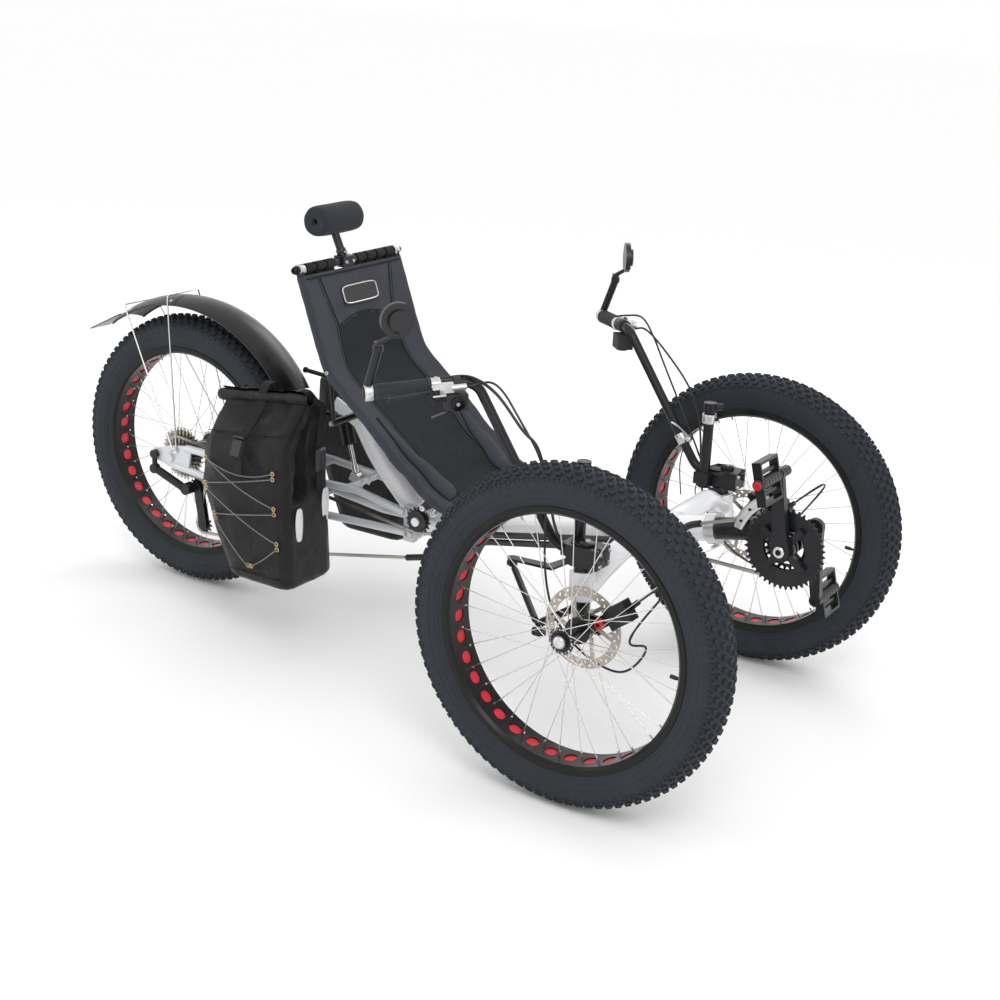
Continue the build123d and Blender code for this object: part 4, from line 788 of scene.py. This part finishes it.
# Eyelets on the bag's outer side, as shares of its length and height.
EYELETS = {
    "left_top": (0.1, 0.68), "left_a": (0.1, 0.53), "left_b": (0.1, 0.5), "left_c": (0.11, 0.36),
    "left_d": (0.11, 0.33), "low_a": (0.42, 0.1), "low_b": (0.47, 0.1), "right_a": (0.88, 0.64),
    "right_b": (0.88, 0.61), "right_c": (0.88, 0.45), "right_d": (0.88, 0.42), "right_e": (0.88, 0.26),
    "right_f": (0.88, 0.23),
}
# The cord's runs from eyelet to eyelet, and how far each sags.
STRANDS = (
    ("left_top", "right_a", 0.05), ("left_top", "right_c", 0.02), ("left_a", "right_b", 0.0),
    ("left_b", "right_e", 0.02), ("left_c", "right_d", 0.0), ("left_d", "low_a", 0.02),
    ("low_b", "right_f", 0.01),
)
WEBBING, BUCKLE, BRASS, CORD, WHITE = range(5)


def add_cord(shape, side):
    """Brass eyelets and the grey cord that zigzags between them."""
    for along, height in EYELETS.values():
        place = bag_point(side, along, 1, height, lift=1.2)
        ring = [place + Vector((a, 0, b)) * 4.6 * MM for a, b in circle(16)]
        shape.tube(ring, 1.5, around=8, closed=True, kind=BRASS)
    for index, (start, end, sag) in enumerate(STRANDS):
        (a0, h0), (a1, h1) = EYELETS[start], EYELETS[end]
        run = []
        for k in range(25):
            share = k / 24
            along = a0 + (a1 - a0) * share
            height = h0 + (h1 - h0) * share - sag * 4 * share * (1 - share)
            lift = 3.4 + index * 0.5 - 2.6 * abs(2 * share - 1) ** 6
            run.append(bag_point(side, along, 1, height, lift=lift))
        shape.tube(run, 1.5, around=8, kind=CORD)


def add_bag_straps(shape, side):
    """The strap over the rolled top with its buckle, the strap down the front end, and the rack's hooks."""
    heights = (0.60, 0.66, 0.72, 0.78, 0.84, 0.90, 0.96, 1.0)
    over = [bag_point(side, 0.5, 1, height, lift=2.5) for height in heights]
    for inward, rise in ((8, 26), (22, 10), (24, -10), (16, -26)):
        over.append(over[-1] + Vector((0, -side * inward, rise)) * MM)
    add_strap(shape, over, FORWARD, 25, 1.8)
    buckle = bag_point(side, 0.5, 1, 0.76, lift=6)
    up = (bag_point(side, 0.5, 1, 0.82, lift=6) - bag_point(side, 0.5, 1, 0.7, lift=6)).normalized()
    out = FORWARD.cross(up) * -side
    shape.prism(buckle, up, FORWARD, out, (46, 33), (40, 27), 7, kind=BUCKLE)
    shape.prism(buckle + up * 27 * MM, up, FORWARD, out, (7, 34), (5, 32), 6, kind=BUCKLE)
    front = [at(x, side * 227, z) for x, z in ((-905, 682), (-885, 680))]
    for k in range(13):
        front.append(bag_point(side, 1, 0.26, 0.99 - 0.5 * k / 12) + FORWARD * 2.5 * MM)
    add_strap(shape, front, LEFT, 25, 1.8)
    clip = bag_point(side, 1, 0.26, 0.66) + FORWARD * 4 * MM
    shape.prism(clip, UP, LEFT, FORWARD, (58, 34), (50, 26), 8, kind=BUCKLE)
    for x in (-1090, -950):
        shape.prism(at(x, side * 138.5, 606), FORWARD, UP, LEFT * -side, (34, 30), (28, 24), 5, kind=BUCKLE)


def make_bag_trim(name, side):
    """Straps, buckles, seams, eyelets with the grey cord, and two pale patches."""
    shape = Shape()
    add_cord(shape, side)
    add_bag_straps(shape, side)
    for depth, height in ((0.72, 0.34), (0.14, 0.40)):
        centre = bag_point(side, 1, depth, height) + FORWARD * 1.2 * MM
        add_oval(shape, centre, LEFT, UP, FORWARD)
    for height, lift in ((0.83, 1.0), (0.055, 0.6)):
        shape.tube([bag_point(side, k / 20, 1, height, lift=lift) for k in range(1, 20)], 1.2, around=6)
    seam = [bag_point(side, 0.985, 0.99, 0.03 + 0.93 * k / 40, lift=0.5) for k in range(41)]
    shape.tube(seam, 1.4, around=6)
    kinds = ["webbing", "black_plastic", "brass", "cord_grey", "trim_white"]
    shape.build(f"bag_trim_{name}", "frame", kinds, smooth=40)


def add_strap(shape, path, across, width, thickness, kind=0):
    """A flat webbing strap along a path, lying across a direction."""
    path = smooth_path(path, 4)
    rows = []
    for i, point in enumerate(path):
        along = (path[min(i + 1, len(path) - 1)] - path[max(i - 1, 0)]).normalized()
        normal = along.cross(across).normalized()
        half = across * width / 2 * MM
        rise = normal * thickness / 2 * MM
        rows.append([point - half - rise, point + half - rise, point + half + rise, point - half + rise])
    shape.skin(rows, kind=kind)


def add_oval(shape, centre, across, along, outward):
    """A long pale patch with round ends."""
    width, length = 26, 88
    rows = [[], [], []]
    for a, b in circle(32):
        rim = (across * width / 2 * squarish(a, 0.6) + along * length / 2 * squarish(b, 0.85)) * MM
        rows[0].append(centre + rim - outward * 1.5 * MM)
        rows[1].append(centre + rim + outward * 0.6 * MM)
        rows[2].append(centre + rim * 0.9 + outward * 1.2 * MM)
    rows.append([centre + outward * 1.2 * MM] * 32)
    shape.grid(rows, wrap_columns=True, kind=WHITE)


# --- cables, bars and bolts
def add_cap(shape, centre, axis, radius, height, kind=0, socket=True):
    """A screw head with rounded rim and a socket in its face, standing on a point."""
    profile = [(0, -1.5), (radius, -1.5), (radius, height * 0.7), (radius * 0.86, height)]
    if socket:
        profile += [(radius * 0.5, height), (radius * 0.45, height * 0.35), (0, height * 0.35)]
    else:
        profile += [(radius * 0.5, height * 1.12), (0, height * 1.18)]
    shape.lathe(centre, axis, profile, segments=20, kind=kind)


def add_band(shape, start, end, radius, kind=0, ribs=0):
    """A collar round a straight piece of tube, with rounded rims and optional ribs."""
    start, end = Vector(start), Vector(end)
    length = (end - start).length / MM
    edge = min(1.2, length / 4)
    groove = radius - 1.2
    profile = [(radius - 2.5, 0), (radius - edge * 0.5, 0), (radius, edge)]
    for rib in range(ribs):
        middle = edge + (length - 2 * edge) * (rib + 0.5) / ribs
        half = (length - 2 * edge) / ribs / 2
        profile += [(radius, middle - half * 0.5), (groove, middle - half * 0.1)]
        profile += [(groove, middle + half * 0.3), (radius, middle + half * 0.6)]
    profile += [(radius, length - edge), (radius - edge * 0.5, length), (radius - 2.5, length)]
    shape.lathe(start, end - start, profile, kind=kind)


def add_lever(shape, start, direction, length, normal):
    """A silver quick-release lever: a flat curved blade that widens toward its tip."""
    direction, normal = Vector(direction).normalized(), Vector(normal).normalized()
    across = direction.cross(normal)
    rows = []
    for k in range(13):
        share = k / 12
        centre = start + (direction * length * share + normal * 7 * sin(share * pi * 0.9)) * MM
        wide = 3.2 + 3.0 * share - 3.5 * max(0, share - 0.85) / 0.15
        thick = 3.0 - 1.4 * share
        rows.append([centre + (across * wide * a + normal * thick * b) * MM for a, b in circle(16)])
    shape.skin(rows, kind=SILVER)


METALS = (
    "silver_alloy", "bolt_dark", "black_plastic", "grip_rubber", "knob_red", "mirror_face", "cable_black",
)
SILVER, DARK, PLASTIC, RUBBER, RED, GLASS, CABLE = range(7)


def bar_line(side):
    """End of one handlebar's grip, and the direction that points out of it."""
    return at(-501, side * 513, 807), Vector((-167, side * 169, -22)).normalized()


def add_shifter(shape, side):
    """Caps and paddle of the shifter pod under the grip."""
    bar_end, along = bar_line(side)
    out = Vector((0.716, 0.692 * side, -0.09))
    pod = bar_end - (along * 196 + UP * 38) * MM
    add_cap(shape, pod + out * 20 * MM, out, 16, 4, DARK, socket=False)
    add_cap(shape, pod + out * 24.5 * MM, out, 4, 2, SILVER)
    add_cap(shape, pod - UP * 18 * MM, -UP, 14, 5, PLASTIC, socket=False)
    paddle = []
    for drop, forth, lift in ((19, 0, 4), (24, 30, 8), (26, 56, 20)):
        paddle.append(pod + (along * forth + out * lift - UP * drop) * MM)
    add_strap(shape, paddle, UP.cross(along), 13, 4, kind=PLASTIC)
    clamp = bar_end - along * 150 * MM
    add_band(shape, clamp - along * 8 * MM, clamp + along * 8 * MM, 16.2, PLASTIC)
    add_cap(shape, clamp + UP * 15.5 * MM, UP, 3.4, 4, SILVER)
    add_cap(shape, clamp + (out * 35 + along * 4 + UP * 8) * MM, UP, 5.2, 3.5, SILVER)
    mirror_clamp = bar_end - along * 6 * MM
    add_band(shape, mirror_clamp - along * 9 * MM, mirror_clamp + along * 9 * MM, 18.5, SILVER)
    add_cap(shape, mirror_clamp + along * 9 * MM, along, 10.5, 4, PLASTIC, socket=False)
    add_cap(shape, mirror_clamp + out * 18 * MM, out, 5, 6, SILVER)


def add_folding_joint(shape, side):
    """Clamp with its lever half way up the bar, and the two thin cables beside it."""
    joint = at(-165, side * 344, 580)
    bar = Vector((-216, 0, 319)).normalized()
    add_band(shape, joint - bar * 13 * MM, joint + bar * 13 * MM, 15.5, SILVER)
    add_cap(shape, joint + FORWARD * 15 * MM, FORWARD, 8, 9, SILVER)
    add_lever(shape, joint + FORWARD * 20 * MM, (-0.55, -0.45, 0.6), 66, (0.5, 0, 0.86))
    for start, low in ((joint, (-150, 330, 440)), (at(-118, 344, 520), (-100, 330, 440))):
        drop = [start + Vector((14, -10, 0)) * MM, start + Vector((10, -22, -60)) * MM, at(*low)]
        shape.tube(smooth_path(drop), 1.6, around=8, kind=CABLE)


def make_cockpit(name, side):
    """Small parts of one side's knuckle, bar, shifter, caliper and accessory post."""
    shape = Shape()
    post_x, post_y = -80, side * 306
    for top, low, radius, kind, ribs in ((666, 644, 17.2, SILVER, 0), (520, 484, 16.6, RUBBER, 5),
                                         (694.5, 689, 13.5, PLASTIC, 0)):
        add_band(shape, at(post_x, post_y, top), at(post_x, post_y, low), radius, kind, ribs=ribs)
    add_cap(shape, at(post_x + 17, post_y, 655), FORWARD, 4.5, 5, DARK)
    add_cap(shape, at(post_x + 16, post_y, 683), FORWARD, 4, 4, DARK)
    for z in (492, 518):
        for y in (-19, 19):
            add_cap(shape, at(0, side * 342 + y, z), FORWARD, 4.2, 5, SILVER)
    add_cap(shape, at(-38, side * 345, 527), UP, 17, 7, PLASTIC, socket=False)
    add_cap(shape, at(-38, side * 345, 534), UP, 5, 4, SILVER)
    add_shifter(shape, side)
    king = Vector((-sin(radians(6)), -side * sin(radians(8)), 1)).normalized()
    king_foot = at(-45, side * 345, 434)
    for low, high, radius in ((44, 54, 31), (88, 95, 30)):
        add_band(shape, king_foot + king * low * MM, king_foot + king * high * MM, radius, PLASTIC)
    if side > 0:
        add_folding_joint(shape, side)
    knob = at(50, side * 431, 400)
    add_cap(shape, knob, LEFT * side, 11.5, 9, RED, socket=False)
    add_cap(shape, knob + LEFT * side * 10 * MM, LEFT * side, 4, 2, DARK)
    for dx, dz in ((-24, 20), (22, -20)):
        add_cap(shape, at(50 + dx, side * 425, 400 + dz), LEFT * side, 4.5, 4, SILVER)
    shape.build(f"cockpit_trim_{name}", f"upright_{name}", METALS)


def make_mirror(name, side):
    """Glass, rim and domed back of one mirror."""
    face = Vector((-0.82, -side * 0.57, 0)).normalized()
    centre = at(-434, side * 499, 972) + face * 4.5 * MM
    shape = Shape()
    glass = [(0, 0), (33, 0), (33.4, -0.6), (33.4, -2), (0, -2)]
    rim = [(33.2, -3), (33.2, 0.4), (34.4, 1.0), (36, 0.6), (37.2, -1), (37.4, -3), (33.2, -3)]
    back = [(0, -10.5), (18, -10), (30, -8), (36, -5), (37.4, -3)]
    for profile, kind in ((glass, GLASS), (rim, PLASTIC), (back, PLASTIC)):
        shape.lathe(centre, face, profile, segments=48, kind=kind)
    shape.build(f"mirror_face_{name}", f"mirror_{name}", METALS)


def make_frame_trim():
    """Bolts, clamps and quick releases on the frame and the seat."""
    shape = Shape()
    for side in (1, -1):
        bar_end = at(-944, side * 206, 962)
        add_band(shape, at(-944, side * 200, 962), at(-944, side * 180, 962), 13.5, SILVER)
        add_cap(shape, bar_end + LEFT * side * 1.5 * MM, LEFT * side, 8.5, 5, DARK)
        add_cap(shape, at(-930, side * 190, 962), FORWARD, 4.2, 5, SILVER)
        add_cap(shape, at(-928, -16 + side * 14, 962), FORWARD, 4.2, 4, SILVER)
        for x, y, z, radius in ((-850, 179, 598, 7), (-560, 199, 452, 7), (-849, 199, 728, 5)):
            add_cap(shape, at(x, side * y, z), LEFT * side, radius, 5 if radius > 5 else 4, SILVER)
        add_cap(shape, at(-662, -68.6 + side * 8, 362), LEFT * side, 7.5, 4, SILVER)
    foot = at(-944, -16, 962)
    post = (at(-990, -16, 1058) - foot).normalized()
    add_band(shape, foot + post * 18 * MM, foot + post * 30 * MM, 12.5, PLASTIC)
    add_cap(shape, foot + (post * 24 + FORWARD * 12) * MM, FORWARD, 4, 5, SILVER)
    for x, z in ((-620, 388), (-655, 404)):
        knob = at(x, -60, z)
        add_cap(shape, knob, -LEFT, 8, 10, SILVER)
        add_lever(shape, knob - LEFT * 12 * MM, (0.55, -0.1, 0.8), 52, -LEFT)
    shape.build("frame_trim", "frame", METALS)


CRANK_X, CRANK_Z, CRANK_LENGTH = 292, 520, 170
CRANK_LEAN = radians(7)


def make_crank_trim():
    """Caps of the crank axle and chainring bolts, ribs of the pedals and the cage's bright plate."""
    shape = Shape()
    for face in (-1, 1):
        add_cap(shape, at(CRANK_X, 104.5 * face, CRANK_Z), LEFT * face, 12.5, 5, SILVER)
        add_cap(shape, at(CRANK_X, 108.7 * face, CRANK_Z), LEFT * face, 6.5, 2, DARK)
    for k in range(4):
        angle = radians(45 + 90 * k) + CRANK_LEAN
        place = at(CRANK_X + 52 * cos(angle), -71.1, CRANK_Z + 52 * sin(angle))
        add_cap(shape, place, -LEFT, 5, 3.5, SILVER)
    shape.build("crank_trim", "crank", METALS)
    reach = Vector((-sin(CRANK_LEAN), 0, cos(CRANK_LEAN))) * CRANK_LENGTH * MM
    for name, side, cap in (("right", -1, RED), ("left", 1, DARK)):
        pedal = Shape()
        out = LEFT * side
        end = at(CRANK_X, side * 203, CRANK_Z) - reach * side
        add_band(pedal, end - out * 96 * MM, end - out * 4 * MM, 13.5, PLASTIC, ribs=6)
        add_cap(pedal, end, out, 12.6, 3, PLASTIC, socket=False)
        add_cap(pedal, end + out * 3 * MM, out, 9, 3, cap, socket=False)
        pedal.build(f"pedal_trim_{name}", f"pedal_{name}", METALS)
    cage = Shape()
    rows = []
    for k in range(25):
        angle = radians(112 + 56 * k / 24)
        trim = 3 * (2 * k / 24 - 1) ** 4
        section = ((98 + trim, 0), (98 + trim, 1.4), (100 + trim, 2.2), (120 - trim, 2.2), (122 - trim, 1.4),
                   (122 - trim, 0))
        a, b = cos(angle), sin(angle)
        rows.append([at(CRANK_X + r * a, -80 - depth, CRANK_Z + r * b) for r, depth in section])
    cage.grid(rows, wrap_columns=True, kind=SILVER)
    for degrees in (122, 140, 158):
        angle = radians(degrees)
        place = at(CRANK_X + 110 * cos(angle), -82, CRANK_Z + 110 * sin(angle))
        add_cap(cage, place, -LEFT, 3.4, 2.4, DARK)
    cage.build("cage_trim", "boom", METALS)


def make_fender_trim():
    """Rolled rims along both edges of the rear fender, and the bolts of its stays and of the swingarm."""
    shape = Shape()
    for side in (1, -1):
        run = []
        for k in range(49):
            angle = radians(33 + 95 * k / 48)
            run.append(at(-1448 + 403.4 * cos(angle), side * 58.6, 372 + 403.4 * sin(angle)))
        shape.tube(run, 2.1, around=8, kind=PLASTIC)
        for degrees in (118, 96):
            a, b = cos(radians(degrees)), sin(radians(degrees))
            add_cap(shape, at(-1448 + 412 * a, side * 48, 372 + 412 * b), (a, side * 0.45, b), 4, 3, SILVER)
        for x, y, z, radius, height in ((-1437, 109, 393, 5, 4), (-1424, 109, 399, 5, 4),
                                        (-1448, 105, 372, 11, 6), (-700, 52, 312, 10, 5)):
            add_cap(shape, at(x, side * y, z), LEFT * side, radius, height, SILVER)
    shape.build("swingarm_trim", "swingarm", METALS)


# Side view of the shift cables as (x, z), from the grip to the foot of the bar.
SHIFT_CABLES = {
    "right": ((-417, 824), (-342, 838), (-275, 813), (-209, 748), (-168, 713), (-143, 640), (-122, 560),
              (-106, 522)),
    "left": ((-410, 842), (-350, 857), (-306, 859), (-272, 821), (-233, 752), (-170, 640), (-128, 565),
             (-106, 524)),
}


def make_cables():
    """Shift cables that arc forward from each grip and are tied to the foot of the bar."""
    for name, side in SIDES:
        shape = Shape()
        for lane, shift in ((0, 0), (1, 5)) if side < 0 else ((0, 0),):
            path = []
            for i, (x, z) in enumerate(SHIFT_CABLES[name]):
                spread = shift if i else 0.4 * shift
                path.append(at(x + spread, side * (360 - 2 * i + 7 * lane), z + spread))
            shape.tube(smooth_path(path, 10), 2.4)
        shape.build(f"shift_cables_{name}", f"upright_{name}", ["cable_black"])


def make_grips():
    """Ribs along each grip and a smooth collar at both ends."""
    profile = [(14.5, 17)]
    for rib in range(22):
        start = 24 + rib * 4.9
        profile += [(16.2, start), (17.3, start + 0.9), (17.3, start + 2.9), (16.2, start + 3.8)]
    profile += [(16.2, 132), (18.4, 133), (18.4, 138), (14.5, 139)]
    for name, side in SIDES:
        end, along = bar_line(side)
        shape = Shape()
        shape.lathe(end, -along, profile, segments=36)
        shape.build(f"grip_ribs_{name}", f"upright_{name}", ["grip_rubber"], smooth=25)


def make_badge():
    """Blank badge with a silver rim near the top of the seat."""
    row = 11
    normal = SEAT_NORMALS[row]
    place = SEAT_LINE[row] + normal * 6 * MM
    along = (SEAT_LINE[row + 2] - SEAT_LINE[row - 2]).normalized()
    shape = Shape()
    shape.prism(place, LEFT, along, normal, (138, 48), (136, 46), 3)
    ring = []
    for a, b in circle(40):
        offset = LEFT * 67 * squarish(a, 0.35) + along * 22 * squarish(b, 0.35)
        ring.append(place + (normal * 3.2 + offset) * MM)
    shape.tube(ring, 1.9, around=8, closed=True, kind=1)
    shape.build("seat_badge", "frame", ["black_plastic", "silver_alloy"])


make_camera()
make_room()
paint_cad()
make_wheels()
make_seat()
make_lacing()
make_headrest()
make_badge()
for where, sign in SIDES:
    make_bag(where, sign)
make_cables()
make_grips()
make_frame_trim()
make_crank_trim()
make_fender_trim()
for where, sign in SIDES:
    make_cockpit(where, sign)
    make_mirror(where, sign)
